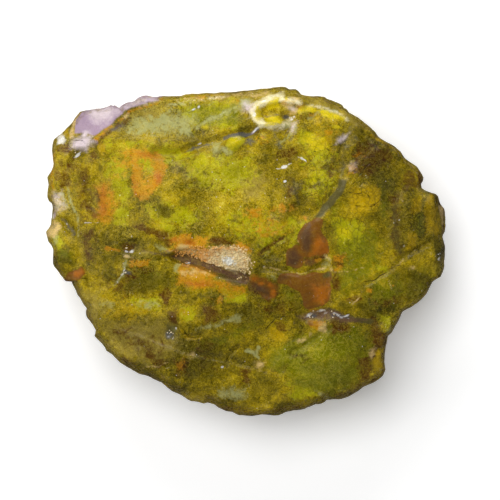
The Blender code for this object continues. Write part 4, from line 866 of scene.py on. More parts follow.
class StageSettings(bpy.types.PropertyGroup):
    """The floor, lamps and camera."""

    floor_colour: bpy.props.FloatVectorProperty(
        name="Floor colour",
        description="Colour of the pale floor",
        default=(0.93, 0.93, 0.93),
        subtype="COLOR",
    )
    key_power: bpy.props.FloatProperty(
        name="Key lamp", description="Power of the softbox overhead", default=2.7, unit="POWER"
    )
    fill_power: bpy.props.FloatProperty(
        name="Fill lamps",
        description="Power of the far softbox, of which the others have a part",
        default=1.6,
        unit="POWER",
    )
    lens: bpy.props.FloatProperty(
        name="Lens", description="Focal length of the camera in millimetres", default=180.0
    )


def turn_matrix(a, b):
    """A turn by a about z and then by b about x."""
    about_z = np.array(((math.cos(a), -math.sin(a), 0), (math.sin(a), math.cos(a), 0), (0, 0, 1)))
    about_x = np.array(((1, 0, 0), (0, math.cos(b), -math.sin(b)), (0, math.sin(b), math.cos(b))))
    return about_z @ about_x


# A fixed turn keeps the noise's lattice off the stone's own axes.
LATTICE_TURN = turn_matrix(0.6, 0.9)

# Odd numbers that mix a lattice place's coordinates, its seed and their sum, which is kept to 32 bits.
MIXERS = (374761393, 668265263, 1103515245)
SEED_MIXER = 144665
LAST_MIXER = 1274126177
WORD = 0xFFFFFFFF


def lattice(cell, seed):
    """A repeatable number from -1 to 1 for each whole-numbered place: a mixed product of its coordinates."""
    mixed = (cell @ np.array(MIXERS) + seed * SEED_MIXER) & WORD
    mixed = ((mixed ^ (mixed >> 13)) * LAST_MIXER) & WORD
    return ((mixed ^ (mixed >> 16)) & 0xFFFF) / 32767.5 - 1.0


def noise(points, size, seed):
    """Smooth noise from -1 to 1: lattice numbers, size apart, joined by steps of 6t^5 - 15t^4 + 10t^3."""
    place = points @ LATTICE_TURN / size
    cell = np.floor(place).astype(np.int64)
    part = place - cell
    part = part**3 * (part * (part * 6.0 - 15.0) + 10.0)
    total = np.zeros(len(points))
    for corner in np.ndindex(2, 2, 2):
        share = np.prod(np.where(np.array(corner) == 1, part, 1.0 - part), axis=1)
        total += share * lattice(cell + np.array(corner), seed)
    return total


def clouds(points, size, seed, octaves):
    """Noise summed over octaves, each half the size and half the height of the one before."""
    total = np.zeros(len(points))
    for octave in range(octaves):
        total += noise(points, size / 2**octave, seed + octave) / 2**octave
    return total


def scallops(points, size, seed):
    """Hollows that meet in ridges: squared distance to the nearest seed, one jittered per lattice cube."""
    place = points @ LATTICE_TURN / size
    cell = np.floor(place).astype(np.int64)
    nearest = np.full(len(points), 9.0)
    for step in np.ndindex(3, 3, 3):
        there = cell + np.array(step) - 1
        jitter = np.stack([lattice(there, seed + axis) for axis in range(3)], axis=1)
        away = there + 0.5 + 0.45 * jitter - place
        nearest = np.minimum(nearest, np.einsum("ij,ij->i", away, away))
    return nearest


def segments(line):
    """The pairs of neighbouring points of a line."""
    line = np.array(line, float)
    return zip(line[:-1], line[1:])


def line_distance(place, line):
    """Distance to a line's nearest segment, and which side of it the place is on (above 0 on the left)."""
    nearest = np.full(len(place), np.inf)
    side = np.zeros(len(place))
    for start, end in segments(line):
        edge = end - start
        offset = place - start
        share = np.clip(offset @ edge / (edge @ edge), 0.0, 1.0)
        away = np.hypot(*(offset - share[:, None] * edge).T)
        closer = away < nearest
        nearest = np.where(closer, away, nearest)
        side = np.where(closer, offset[:, 1] * edge[0] - offset[:, 0] * edge[1], side)
    return nearest, side


def area_depth(place, corners):
    """Distance to a polygon's edge, above zero inside it by the crossing rule."""
    closed = np.vstack((corners, corners[:1]))
    nearest, _ = line_distance(place, closed)
    inside = np.zeros(len(place), bool)
    for start, end in segments(closed):
        crosses = (start[1] > place[:, 1]) != (end[1] > place[:, 1])
        rise = end[1] - start[1]
        at = start[0] + (place[:, 1] - start[1]) * (end[0] - start[0]) / (rise if rise else 1.0)
        inside ^= crosses & (place[:, 0] < at)
    return np.where(inside, nearest, -nearest)


def smooth(low, high, value):
    """The smooth step 3t^2 - 2t^3 between two values."""
    part = np.clip((value - low) / (high - low), 0.0, 1.0)
    return part * part * (3.0 - 2.0 * part)


def outline_radius(bearing):
    """The outline's distance from the origin along each bearing, straight between its points."""
    corners = np.array(OUTLINE, float)
    bearings = np.arctan2(corners[:, 1], corners[:, 0])
    order = np.argsort(bearings)
    return np.interp(bearing, bearings[order], np.hypot(*corners.T)[order], period=2.0 * np.pi)


def rim_turn(bearing):
    """Drop and width of the rim's turn along each bearing."""
    table = np.array(RIM_TURN)
    degrees = np.degrees(bearing) % 360.0
    return np.interp(degrees, table[:, 0], table[:, 1]), np.interp(degrees, table[:, 0], table[:, 2])


def crown(x, y):
    """The face's broad dome: a shallow paraboloid with two crossed swells."""
    reach = np.hypot(x, 1.12 * y) / CROWN_REACH
    swell = 0.32 * np.sin(x / 5.6 + 0.7) * np.sin(y / 5.0 + 1.9) + 0.22 * np.sin((x - y) / 4.3)
    return FACE_HEIGHT - CROWN_FALL * reach**2 + swell


def facet_height(place, facet):
    """A plane through the dome at both ends of the facet's line, falling to the line's left."""
    start, end, fall = np.array(facet[0]), np.array(facet[1]), facet[2]
    length = np.hypot(*(end - start))
    unit = (end - start) / length
    offset = place - start
    along = offset @ unit
    beyond = offset[:, 1] * unit[0] - offset[:, 0] * unit[1]
    low, high = crown(*start), crown(*end)
    return low + (high - low) * along / length - math.tan(math.radians(fall)) * beyond


def lump_rise(place, lump):
    """A smooth mound that ends at an ellipse."""
    middle, half_long, half_wide, turn, height = lump
    c, s = math.cos(math.radians(turn)), math.sin(math.radians(turn))
    x, y = (place - np.array(middle)).T
    reach = ((x * c + y * s) / half_long) ** 2 + ((y * c - x * s) / half_wide) ** 2
    return height * np.clip(1.0 - reach / 1.6, 0.0, 1.0) ** 1.5


def ridge_rise(place, line, half_width, height):
    """A rounded ridge along a line; a groove where the height is below zero."""
    away, _ = line_distance(place, line)
    return height * np.clip(1.0 - (away / (1.3 * half_width)) ** 2, 0.0, 1.0) ** 1.5


def ledge_fall(place, line, step, reach):
    """How far a ledge lowers the ground: all of the step close by on the line's left, none at its reach."""
    away, side = line_distance(place, line)
    fall = step * np.clip(away / LEDGE_EDGE, 0.0, 1.0) * np.clip(1.0 - away / reach, 0.0, 1.0)
    return np.where(side > 0.0, fall, 0.0)


def slit_share(place):
    """How far down the slit's banks a place is: 0 at the mouth's edge and outside it, 1 on the bed."""
    into = area_depth(place, np.array(SLIT_MOUTH))
    to_bed = np.clip(-area_depth(place, np.array(SLIT_BED)), 0.0, None)
    return np.where(into > 0.0, into / (into + to_bed + 1e-6), 0.0)


def face_height(place):
    """Height of the face: dome cut by facets, then lumps, grooves, ledges and the slit's banks."""
    x, y = place.T
    height = crown(x, y)
    for facet in FACETS.values():
        height = np.minimum(height, facet_height(place, facet))
    for lump in LUMPS.values():
        height += lump_rise(place, lump)
    height += ridge_rise(place, ROLL_CREST, ROLL_HALF_WIDTH, ROLL_HEIGHT)
    for line, half, depth in GROOVES.values():
        height += ridge_rise(place, line, half, -depth)
    for ledge in LEDGES.values():
        height -= ledge_fall(place, *ledge)
    height -= slit_share(place) ** 0.9 * (height - SLIT_FLOOR)
    return height


def face_relief(points, shape):
    """Hummocks, shallow scallops and fine tooth of the broken face."""
    size = shape.grain / MM
    relief = clouds(points, size, STONE_SEED, 4) + 0.9 * (0.35 - scallops(points, 1.3 * size, STONE_SEED + 9))
    return shape.face_relief / MM * relief


def rind_relief(points, shape):
    """Deep scallops of two sizes with lumpy ground between, for the rind and the broken sides."""
    large = 0.34 - scallops(points, 6.0, STONE_SEED + 20)
    small = 0.34 - scallops(points, 2.1, STONE_SEED + 30)
    lumps = clouds(points, 3.0, STONE_SEED + 40, 4)
    return shape.rind_relief / MM * (1.3 * large + 0.5 * small + 0.35 * lumps)


def concentric_disc(squares):
    """Squares of a grid laid on a disc: the larger coordinate is the radius, their ratio the bearing."""
    step = np.linspace(-1.0, 1.0, squares + 1)
    a, b = np.meshgrid(step, step, indexing="ij")
    wide = np.abs(a) > np.abs(b)
    radius = np.where(wide, a, b)
    other = np.where(wide, b, a)
    part = np.pi / 4.0 * other / np.where(radius == 0.0, 1.0, radius)
    bearing = np.where(wide, part, np.pi / 2.0 - part)
    return radius * np.cos(bearing), radius * np.sin(bearing)


def grid_edge(squares):
    """Indices of a square grid's edge, anticlockwise from its lowest corner."""
    index = np.arange((squares + 1) ** 2).reshape(squares + 1, squares + 1)
    return np.concatenate((index[:-1, 0], index[-1, :-1], index[:0:-1, -1], index[0, :0:-1]))


def break_planes(rim):
    """Outward directions and distances of the flat breaks: each passes through the side at two heights."""
    planes = []
    for bearing, top, bottom in BREAKS:
        angle = math.radians(bearing)
        aim = np.array((math.cos(angle), math.sin(angle)))
        corner = rim[np.argmax(rim[:, :2] @ aim / np.hypot(*rim[:, :2].T))][None]
        high, low = smooth_side(corner, top)[0], smooth_side(corner, bottom)[0]
        outward = np.cross((-aim[1], aim[0], 0.0), high - low)
        outward /= np.linalg.norm(outward)
        planes.append((outward, outward @ high))
    return planes


def smooth_side(rim, share):
    """The side before it was broken: it curves in from the rim, and the outline's small bays die out."""
    bearing = np.arctan2(rim[:, 1], rim[:, 0])
    base = BASE_SHARE + 0.05 * np.sin(2.0 * bearing + 0.9) + 0.025 * np.sin(5.0 * bearing)
    inward = 1.0 - (1.0 - base) * share**SIDE_CURVE
    even = np.hypot(OVAL_LONG * np.cos(bearing), OVAL_WIDE * np.sin(bearing)) / np.hypot(*rim[:, :2].T)
    inward = inward * (1.0 + 0.6 * share * (even - 1.0))
    return np.stack((rim[:, 0] * inward, rim[:, 1] * inward, rim[:, 2] * (1.0 - share)), axis=1)


def stone_surface(shape):
    """The closed stone: a disc grid for the face, then rings over the rim, down the side and in to the base.

    Face: the disc is stretched to the outline less the rim's turn, at the face's height. Turn: a quarter of
    an ellipse. Side: the rim drawn in by a power of the way down, with the flat breaks cut off. Base: the
    last ring drawn in to the origin, flat. All is moved outward by the relief.
    Returns points, quads, triangles, and how far each point is off the face (0 on it, 1 on the rind).
    """
    disc_x, disc_y = concentric_disc(FACE_SQUARES)
    disc = np.stack((disc_x.ravel(), disc_y.ravel()), axis=1)
    bearing = np.arctan2(disc[:, 1], disc[:, 0])
    share = np.hypot(*disc.T)
    _, width = rim_turn(bearing)
    radius = outline_radius(bearing)
    place = disc * (radius - width)[:, None]
    inset = radius - share * (radius - width)
    points = np.column_stack((place, face_height(place)))
    rindward = 1.0 - smooth(*RIND_BAND, inset)
    up = np.tile((0.0, 0.0, 1.0), (len(points), 1))

    edge = grid_edge(FACE_SQUARES)
    edge_bearing = bearing[edge]
    aim = np.stack((np.cos(edge_bearing), np.sin(edge_bearing)), axis=1)
    drop, width = rim_turn(edge_bearing)
    radius = outline_radius(edge_bearing)
    rings, ways, offs = [points], [up], [rindward]
    for ring in range(1, TURN_RINGS + 1):
        angle = 0.5 * np.pi * ring / TURN_RINGS
        place = aim * (radius - width * (1.0 - math.sin(angle)))[:, None]
        height = face_height(place) - drop * (1.0 - math.cos(angle))
        rings.append(np.column_stack((place, height)))
        ways.append(np.column_stack((aim * 0.3 * math.sin(angle), np.full(len(aim), math.cos(angle)))))
        offs.append(np.ones(len(aim)))
    rim = rings[-1]
    planes = break_planes(rim)
    for ring in range(1, SIDE_RINGS + 1):
        down = ring / SIDE_RINGS
        side = smooth_side(rim, down)
        fresh = np.zeros(len(aim))
        for outward, distance in planes:
            proud = np.clip(side @ outward - distance, 0.0, None) * min(1.0, down / 0.2)
            side[:, :2] -= outward[:2] * (proud / (outward[:2] @ outward[:2]))[:, None]
            fresh = np.maximum(fresh, smooth(0.1, 0.9, proud))
        rings.append(side)
        fade = (1.0 - down**6) * (0.3 + 0.7 * smooth(0.0, 0.25, down))
        ways.append(np.column_stack((aim * fade, np.full(len(aim), -0.25 * math.sin(np.pi * down)))))
        offs.append(1.0 - 0.75 * fresh)
    foot = rings[-1]
    for ring in range(1, BASE_RINGS):
        rings.append(foot * (1.0 - ring / BASE_RINGS))
        ways.append(np.zeros_like(foot))
        offs.append(np.ones(len(aim)))
    rings.append(np.zeros((1, 3)))
    ways.append(np.zeros((1, 3)))
    offs.append(np.ones(1))

    points = np.vstack(rings)
    ways = np.vstack(ways)
    rindward = np.concatenate(offs)
    relief = (1.0 - rindward) * face_relief(points, shape) + rindward * rind_relief(points, shape)
    points = points + ways * relief[:, None]
    points[:, 2] = np.maximum(points[:, 2], 0.0)

    index = np.arange((FACE_SQUARES + 1) ** 2).reshape(FACE_SQUARES + 1, FACE_SQUARES + 1)
    squares = np.stack((index[:-1, :-1], index[1:, :-1], index[1:, 1:], index[:-1, 1:]), axis=-1)
    quads = [squares.reshape(-1, 4)]
    ring_count = TURN_RINGS + SIDE_RINGS + BASE_RINGS - 1
    below = index.size + np.arange(ring_count * len(edge)).reshape(ring_count, len(edge))
    loops = np.vstack((edge[None], below))
    onward = np.roll(loops, -1, axis=1)
    quads.append(np.stack((loops[:-1], loops[1:], onward[1:], onward[:-1]), axis=-1).reshape(-1, 4))
    middle = np.full(len(edge), len(points) - 1)
    triangles = np.stack((loops[-1], middle, onward[-1]), axis=-1)
    return points, np.vstack(quads), triangles, rindward


def cover(place, mark):
    """How fully a mark covers each place: 0.5 at its edge, and 0 or 1 one feather away from it."""
    kind, strength, feather, form = mark
    if kind == "area":
        depth = area_depth(place, form)
    elif kind == "spot":
        x, y = (place - form[:2]).T
        c, s = math.cos(form[4]), math.sin(form[4])
        reach = np.hypot((x * c + y * s) / form[2], (y * c - x * s) / form[3])
        depth = (1.0 - reach) * min(form[2], form[3])
    else:
        depth = form[0] - line_distance(place, form[1])[0]
    return abs(strength) * np.clip(0.5 + 0.5 * depth / feather, 0.0, 1.0)


def mark_reach(mark):
    """The lowest and highest corner of what a mark can colour."""
    kind, _, feather, form = mark
    if kind == "spot":
        spread = max(form[2], form[3]) * (1.0 + feather / min(form[2], form[3]))
        return form[:2] - spread, form[:2] + spread
    points, spread = (form, feather) if kind == "area" else (form[1], feather + form[0])
    return points.min(axis=0) - spread, points.max(axis=0) + spread


def mineral_share(place, marks):
    """A mineral's marks laid together: the fullest wins, and a clearing mark takes its share away."""
    total = np.zeros(len(place))
    for mark in marks:
        low, high = mark_reach(mark)
        near = np.flatnonzero(np.all((place > low) & (place < high), axis=1))
        covered = cover(place[near], mark)
        if mark[1] > 0.0:
            total[near] = np.maximum(total[near], covered)
        else:
            total[near] *= 1.0 - covered
    return total


def crack_nearness(place):
    """1 on a crack's line, falling to 0 one millimetre from it."""
    nearest = np.full(len(place), np.inf)
    for line in CRACKS:
        nearest = np.minimum(nearest, line_distance(place, line)[0])
    return np.clip(1.0 - nearest, 0.0, 1.0)


def wander(points, size, seed):
    """Sideways wobble that keeps drawn edges from looking drawn."""
    return np.stack((clouds(points, size, seed, 3), clouds(points, size, seed + 7, 3)), axis=1)


def mesh_object(name, points, faces):
    """A smooth mesh object at the origin, from points in metres."""
    mesh = bpy.data.meshes.new(name)
    mesh.from_pydata(points.tolist(), [], faces)
    mesh.shade_smooth()
    made = bpy.data.objects.new(name, mesh)
    bpy.context.scene.collection.objects.link(made)
    return made


def add_value(mesh, name, values):
    """A number for each point of a mesh."""
    mesh.attributes.new(name, "FLOAT", "POINT").data.foreach_set("value", values.astype(np.float32))


class Value:
    """A number socket of a shader: arithmetic on it adds Math nodes."""

    def __init__(self, tree, socket):
        self.tree = tree
        self.socket = socket

    def math(self, operation, *others):
        """A Math node of this value and the others."""
        values = dict(enumerate((self, *others)))
        node = self.tree.add("ShaderNodeMath", {"operation": operation}, values)
        return Value(self.tree, node.outputs[0])

    def __add__(self, other):
        return self.math("ADD", other)

    def __sub__(self, other):
        return self.math("SUBTRACT", other)

    def __rsub__(self, other):
        return self * -1.0 + other

    def __mul__(self, other):
        return self.math("MULTIPLY", other)

    __radd__ = __add__
    __rmul__ = __mul__

    def step(self, low, high):
        """The smooth step from 0 at low to 1 at high."""
        values = {0: self, 1: low, 2: high, 3: 0.0, 4: 1.0}
        node = self.tree.add("ShaderNodeMapRange", {"interpolation_type": "SMOOTHSTEP"}, values)
        return Value(self.tree, node.outputs[0])

    def ridged(self):
        """1 where the value crosses a half, falling to 0 a half away."""
        return 1.0 - (self - 0.5).math("ABSOLUTE") * 2.0


class ShaderTree:
    """A material's nodes, added through one method."""

    def __init__(self, name):
        self.material = bpy.data.materials.new(name)
        self.material.use_nodes = True
        self.nodes = self.material.node_tree.nodes
        self.links = self.material.node_tree.links
        self.surface = self.nodes["Principled BSDF"]
        place = self.add("ShaderNodeTexCoord", {}, {}).outputs["Object"]
        node = self.add("ShaderNodeVectorMath", {"operation": "SCALE"}, {0: place, "Scale": 1.0 / MM})
        self.place = node.outputs[0]

    def add(self, kind, settings, values):
        """A node of a kind: its settings first, then the values or links of its sockets."""
        node = self.nodes.new(kind)
        for name, value in settings.items():
            setattr(node, name, value)
        for name, value in values.items():
            self.put(node.inputs[name], value)
        return node

    def put(self, socket, value):
        """Links a socket or sets its value."""
        if isinstance(value, Value):
            value = value.socket
        if isinstance(value, bpy.types.NodeSocket):
            self.links.new(value, socket)
        else:
            socket.default_value = value

    def finish(self, values):
        """Sets the surface's inputs and gives back the material."""
        for name, value in values.items():
            self.put(self.surface.inputs[name], value)
        return self.material

    def number(self, value):
        """A constant."""
        node = self.add("ShaderNodeValue", {}, {})
        node.outputs[0].default_value = value
        return Value(self, node.outputs[0])

    def attribute(self, name):
        """A number that the mesh's points carry."""
        node = self.add("ShaderNodeAttribute", {"attribute_name": name}, {})
        return Value(self, node.outputs["Fac"])

    def noise(self, scale, detail, roughness, place=None, distortion=0.0):
        """Cloud noise with so many features to the millimetre."""
        values = {"Vector": place or self.place, "Scale": scale, "Detail": detail, "Roughness": roughness}
        values["Distortion"] = distortion
        node = self.add("ShaderNodeTexNoise", {}, values)
        return Value(self, node.outputs[0])

    def shifted(self, distance):
        """The object's place, moved, so that a second noise differs from the first."""
        node = self.add("ShaderNodeVectorMath", {"operation": "ADD"}, {0: self.place, 1: (distance,) * 3})
        return node.outputs[0]

    def warped(self, scale, height):
        """The object's place, pushed about by noise."""
        values = {"Vector": self.place, "Scale": scale, "Detail": 3.0}
        push = self.add("ShaderNodeTexNoise", {}, values).outputs["Color"]
        values = {0: push, 1: (0.5, 0.5, 0.5)}
        centred = self.add("ShaderNodeVectorMath", {"operation": "SUBTRACT"}, values).outputs[0]
        values = {0: centred, 1: (height,) * 3, 2: self.place}
        return self.add("ShaderNodeVectorMath", {"operation": "MULTIPLY_ADD"}, values).outputs[0]

    def cells(self, scale, feature, output, place=None):
        """Cells with so many to the millimetre."""
        values = {"Vector": place or self.place, "Scale": scale}
        node = self.add("ShaderNodeTexVoronoi", {"feature": feature}, values)
        return node.outputs[output]

    def mix(self, share, first, second, blend="MIX"):
        """Two colours mixed by a share."""
        settings = {"data_type": "RGBA", "blend_type": blend, "clamp_factor": True}
        return self.add("ShaderNodeMix", settings, {0: share, 6: first, 7: second}).outputs[2]

    def grey(self, value):
        """A number as a colour."""
        return self.add("ShaderNodeCombineColor", {}, {0: value, 1: value, 2: value}).outputs[0]

    def bump(self, height, distance, strength=1.0):
        """Normals that follow a height, whose whole step is so many metres."""
        values = {"Height": height, "Distance": distance, "Strength": strength}
        return self.add("ShaderNodeBump", {}, values).outputs[0]


# How far noise moves each mineral's border, how soft that border is, and how much ground shows through.
EDGES = {
    "khaki": (3.6, 0.24, 0.5), "lime": (3.8, 0.2, 0.45), "grass": (3.2, 0.26, 0.4), "gold": (3.8, 0.18, 0.4),
    "umber": (3.8, 0.18, 0.4), "moss": (3.8, 0.22, 0.4), "milk": (3.2, 0.28, 0.2), "rust": (4.2, 0.18, 0.42),
    "jasper": (1, 0.14, 0.12), "plum": (1.4, 0.32, 0.1), "ember": (2.2, 0.32, 0.3),
    "cream": (2.6, 0.26, 0.25), "ivory": (3.6, 0.3, 0.4), "sulphur": (2.4, 0.28, 0.25),
    "taupe": (1.4, 0.26, 0.1), "bed": (1.6, 0.3, 0.3), "slate": (2.2, 0.26, 0.25), "lilac": (1, 0.2, 0),
    "rose": (1.8, 0.36, 0), "chalk_and_painted_glints": (1.6, 0.16, 0.2),
}  # fmt: skip
SMOOTH_MINERALS = ("jasper", "lilac", "rose", "milk", "taupe", "slate")


def opal_material(palette):
    """Mottled opal: mineral grounds with ragged borders over a clouded olive one, rind on the sides."""
    tree = ShaderTree("mottled opal")

    def tint(name):
        return (*getattr(palette, name), 1.0)

    # Clouds of four sizes, pale threads and dark veins.
    warped = tree.warped(0.28, 2.6)
    broad = tree.noise(0.16, 3.0, 0.55, warped)
    mottle = tree.noise(0.5, 7.0, 0.66, warped, 0.5)
    grain = tree.noise(2.2, 5.0, 0.66, tree.shifted(21.0), 0.4)
    threads = tree.noise(0.7, 6.0, 0.62, tree.shifted(13.7), 1.4).ridged()
    fine = tree.noise(4.2, 3.0, 0.65, tree.shifted(77.0), 0.3)
    tone = (broad - 0.5) * 1.2 + (mottle - 0.5) * 1.3 + (threads - 0.75) * 0.3
    dark, pale = tree.attribute("dark"), tree.attribute("pale")
    tone = tone + (grain - 0.5) * 0.6 + (fine - 0.5) * (pale * 0.8 + 1.1)
    veins = tree.noise(1.7, 5.0, 0.64, tree.shifted(41.0), 0.9).ridged()
    # Painted shade and painted light: the dark and pale grounds also tilt the clouds.
    tone = tone - dark * 0.16 + pale * 0.12
    rind = tree.attribute("rind")

    colour = tree.mix((tone + 0.42).step(0.1, 0.5), tint("moss"), tint("olive"))
    colour = tree.mix((tone + 0.5).step(0.46, 0.9), colour, tint("mustard"))
    colour = tree.mix((tone + 0.5).step(0.85, 1.3) * 0.7, colour, tint("straw"))
    smoothness = tree.number(0.0)
    for number, name in enumerate(MARKS):
        ragged, soft, bare = EDGES[name]
        push = tree.noise(0.8, 8.0, 0.68, tree.shifted(5.3 * number), 0.7) - 0.5
        moved = (push * 0.5 + (grain - 0.5) * 0.12) * ragged
        covered = (tree.attribute(name) + moved).step(0.5 - soft, 0.5 + soft)
        if bare:
            covered = covered * (1.0 - (grain * 0.3 + mottle * 0.7 + push * 0.5).step(0.42, 0.7) * bare)
        colour = tree.mix(covered, colour, tint(name))
        if name in SMOOTH_MINERALS:
            smoothness = smoothness.math("MAXIMUM", covered)

    # Below the rim the minerals lie in clouds of their own.
    side = tree.attribute("side")
    patch = tree.noise(0.12, 7.0, 0.62, tree.shifted(91.0), 0.9)
    other = tree.noise(0.15, 7.0, 0.62, tree.shifted(113.0), 0.9)
    for name, cloud, low, high in (
        ("milk", other, 0.4, 0.34), ("lime", patch, 0.45, 0.38), ("umber", other, 0.52, 0.6),
        ("rust", patch, 0.55, 0.62), ("jasper", patch, 0.6, 0.66), ("cream", patch, 0.34, 0.29),
    ):  # fmt: skip
        colour = tree.mix(cloud.step(low, high) * side * 0.85, colour, tint(name))

    # Clouded light and dark, gentler in the smooth minerals, the painted shade and painted light of the dark
    # and pale grounds, and pale threads.
    calm = 1.0 - smoothness * 0.6
    shade = 1.0 - dark * 0.3 + pale * 0.3
    shade = shade - veins.step(0.8, 1.0) * calm * (mottle + pale * 0.1).step(0.4, 0.62) * 0.3
    lift = (calm * tone * 0.78 + shade).math("MAXIMUM", 0.25)
    colour = tree.mix(1.0, colour, tree.grey(lift), "MULTIPLY")
    paler = threads.step(0.88, 1.0) * calm * (pale * 0.35 + 0.12)
    paler = paler + fine.step(0.6, 0.72) * calm * (pale * 0.3 + 0.25)
    colour = tree.mix(paler, colour, tint("straw"))

    # Dark threads that net some grounds into cells a millimetre across.
    near = Value(tree, tree.cells(0.85, "DISTANCE_TO_EDGE", "Distance", tree.warped(0.9, 0.9)))
    net = (1.0 - near.step(0.0, 0.14)) * tree.attribute("net") * (mottle.step(0.42, 0.54) * 0.7 + 0.2)
    colour = tree.mix(net * 0.6, colour, tint("crack"))

    # The rind: rough khaki and brown with dark pits, on the sides and the last of the rim.
    rind_noise = tree.noise(0.45, 8.0, 0.7, tree.shifted(31.0), 0.4)
    rind_pits = Value(tree, tree.cells(1.3, "F1", "Distance", warped))
    rind_cover = (rind + (push + (mottle - 0.5)) * 0.7).step(0.45, 0.8)
    grit = tree.add("ShaderNodeSeparateColor", {}, {0: tree.cells(2.3, "F1", "Color", tree.warped(1.5, 0.5))})
    grit = [Value(tree, socket) for socket in grit.outputs]
    rind_colour = tint("umber")
    for name, covered in (
        ("rind", rind_noise.step(0.38, 0.62)),
        ("jasper", other.step(0.5, 0.62) * 0.6),
        ("milk", patch.step(0.46, 0.36) * 0.6),
        ("olive", broad.step(0.5, 0.62) * 0.8),
        ("khaki", rind_pits.step(0.3, 0.62) * 0.4),
        ("cream", grit[0].step(0.72, 0.8) * 0.3),
        ("crack", grit[1].step(0.66, 0.8) * 0.4),
        ("gold", grit[2].step(0.8, 0.86) * 0.35),
    ):
        rind_colour = tree.mix(covered, rind_colour, tint(name))
    # The rind takes the same painted shade and painted light.
    rind_colour = tree.mix(1.0, rind_colour, tree.grey((tone * 0.7 + shade).math("MAXIMUM", 0.3)), "MULTIPLY")
    colour = tree.mix(rind_cover, colour, rind_colour)

    # Cracks, broken up along their length.
    crack = (tree.attribute("crack") + (grain - 0.5) * 0.2).step(0.86, 0.98)
    crack = crack * (mottle.step(0.36, 0.56) * 0.6 + 0.25)
    colour = tree.mix(crack, colour, tint("crack"))

    # Painted glints: small pale specks where grains of quartz would catch the light, more of them where the
    # pale grounds lie.
    painted_glint_place = tree.shifted(57.0)
    painted_glint_near = 1.0 - Value(tree, tree.cells(1.25, "F1", "Distance", painted_glint_place)).step(0.07, 0.14)
    hue = tree.add("ShaderNodeSeparateColor", {}, {0: tree.cells(1.25, "F1", "Color", painted_glint_place)})
    painted_glint = painted_glint_near * (Value(tree, hue.outputs[0]) + pale * 0.13).step(0.95, 0.96) * calm
    colour = tree.mix(painted_glint * 0.6, colour, tint("chalk_and_painted_glints"))

    gloss = ((grain - 0.5) * 0.5 + rind_cover * 0.3 + 0.2 - smoothness * 0.04).math("MAXIMUM", 0.08)
    height = (grain - 0.5) * (rind * 0.9 + 0.3) + (mottle - 0.5) * 0.8 - crack * 0.8
    height = height - rind_cover * rind_pits.step(0.5, 0.1) * 0.8
    looks = {"Base Color": colour, "Roughness": gloss, "Specular IOR Level": 0.3, "IOR": 1.46}
    looks["Normal"] = tree.bump(height, 0.3 * MM)
    return tree.finish(looks)


def druse_material(palette):
    """Cream quartz points: glassy tips over a clouded foot, the outer ones stained peach by rust; the tips
    are partly lightened as painted glints, and a bright patch near the slit's middle is a painted highlight.
    """
    tree = ShaderTree("cream quartz druse")
    patches = tree.noise(0.9, 4.0, 0.6)
    fine = tree.noise(4.0, 3.0, 0.6, tree.shifted(9.0))
    clear_tip_and_painted_glint = tree.attribute("tip")
    stain_and_painted_highlight = tree.attribute("stain_and_painted_highlight")
    stained = (stain_and_painted_highlight + (patches - 0.5) * 2.2).step(0.15, 1.2)
    colour = tree.mix(stained, (*palette.druse, 1.0), (*palette.peach, 1.0))
    colour = tree.mix(fine.step(0.56, 0.68) * (1.0 - clear_tip_and_painted_glint) * 0.4, colour, (*palette.ember, 1.0))
    # Painted highlight: a bright patch where the points' value falls below zero, as near the druse's middle.
    painted_highlight = (stain_and_painted_highlight + (patches - 0.5) * 1.0).step(-0.1, -0.5)
    hollow = tree.noise(1.6, 4.0, 0.6, tree.shifted(23.0)).step(0.47, 0.58)
    hollow = hollow * (1.0 - painted_highlight) * (1.0 - clear_tip_and_painted_glint * 0.4)
    colour = tree.mix(hollow * 0.6, colour, (*palette.rust, 1.0))
    gaps = tree.noise(2.4, 3.0, 0.6, tree.shifted(37.0)).step(0.54, 0.63)
    gaps = gaps * (1.0 - painted_highlight) * (1.0 - clear_tip_and_painted_glint * 0.6)
    colour = tree.mix(gaps * 0.6, colour, (*palette.jasper, 1.0))
    # The tips are lightened partly as painted glints, and the highlight patch is painted over them.
    colour = tree.mix(clear_tip_and_painted_glint * (1.0 - stained * 0.7) * 0.3 + painted_highlight, colour, (*palette.frost, 1.0))
    looks = {"Base Color": colour, "Roughness": (fine - 0.5) * 0.2 + 0.11, "Transmission Weight": 0.06}
    looks |= {"Normal": tree.bump(fine, 0.05 * MM, 0.6), "Specular IOR Level": 0.25, "IOR": 1.54}
    return tree.finish(looks)


def quartz_template():
    """A six-sided point from foot to tip, unit wide and long: two rings and a tip, closed at the foot."""
    angle = np.arange(6) * np.pi / 3.0
    ring = np.stack((0.5 * np.cos(angle), 0.5 * np.sin(angle)), axis=1)
    foot = np.column_stack((0.9 * ring, np.zeros(6)))
    shoulder = np.column_stack((ring, np.full(6, 0.55)))
    points = np.vstack((foot, shoulder, ((0.0, 0.0, 1.0),)))
    sides = [(k, (k + 1) % 6, 6 + (k + 1) % 6, 6 + k) for k in range(6)]
    tips = [(6 + k, 6 + (k + 1) % 6, 12) for k in range(6)]
    return points, sides, tips, tuple(range(5, -1, -1))


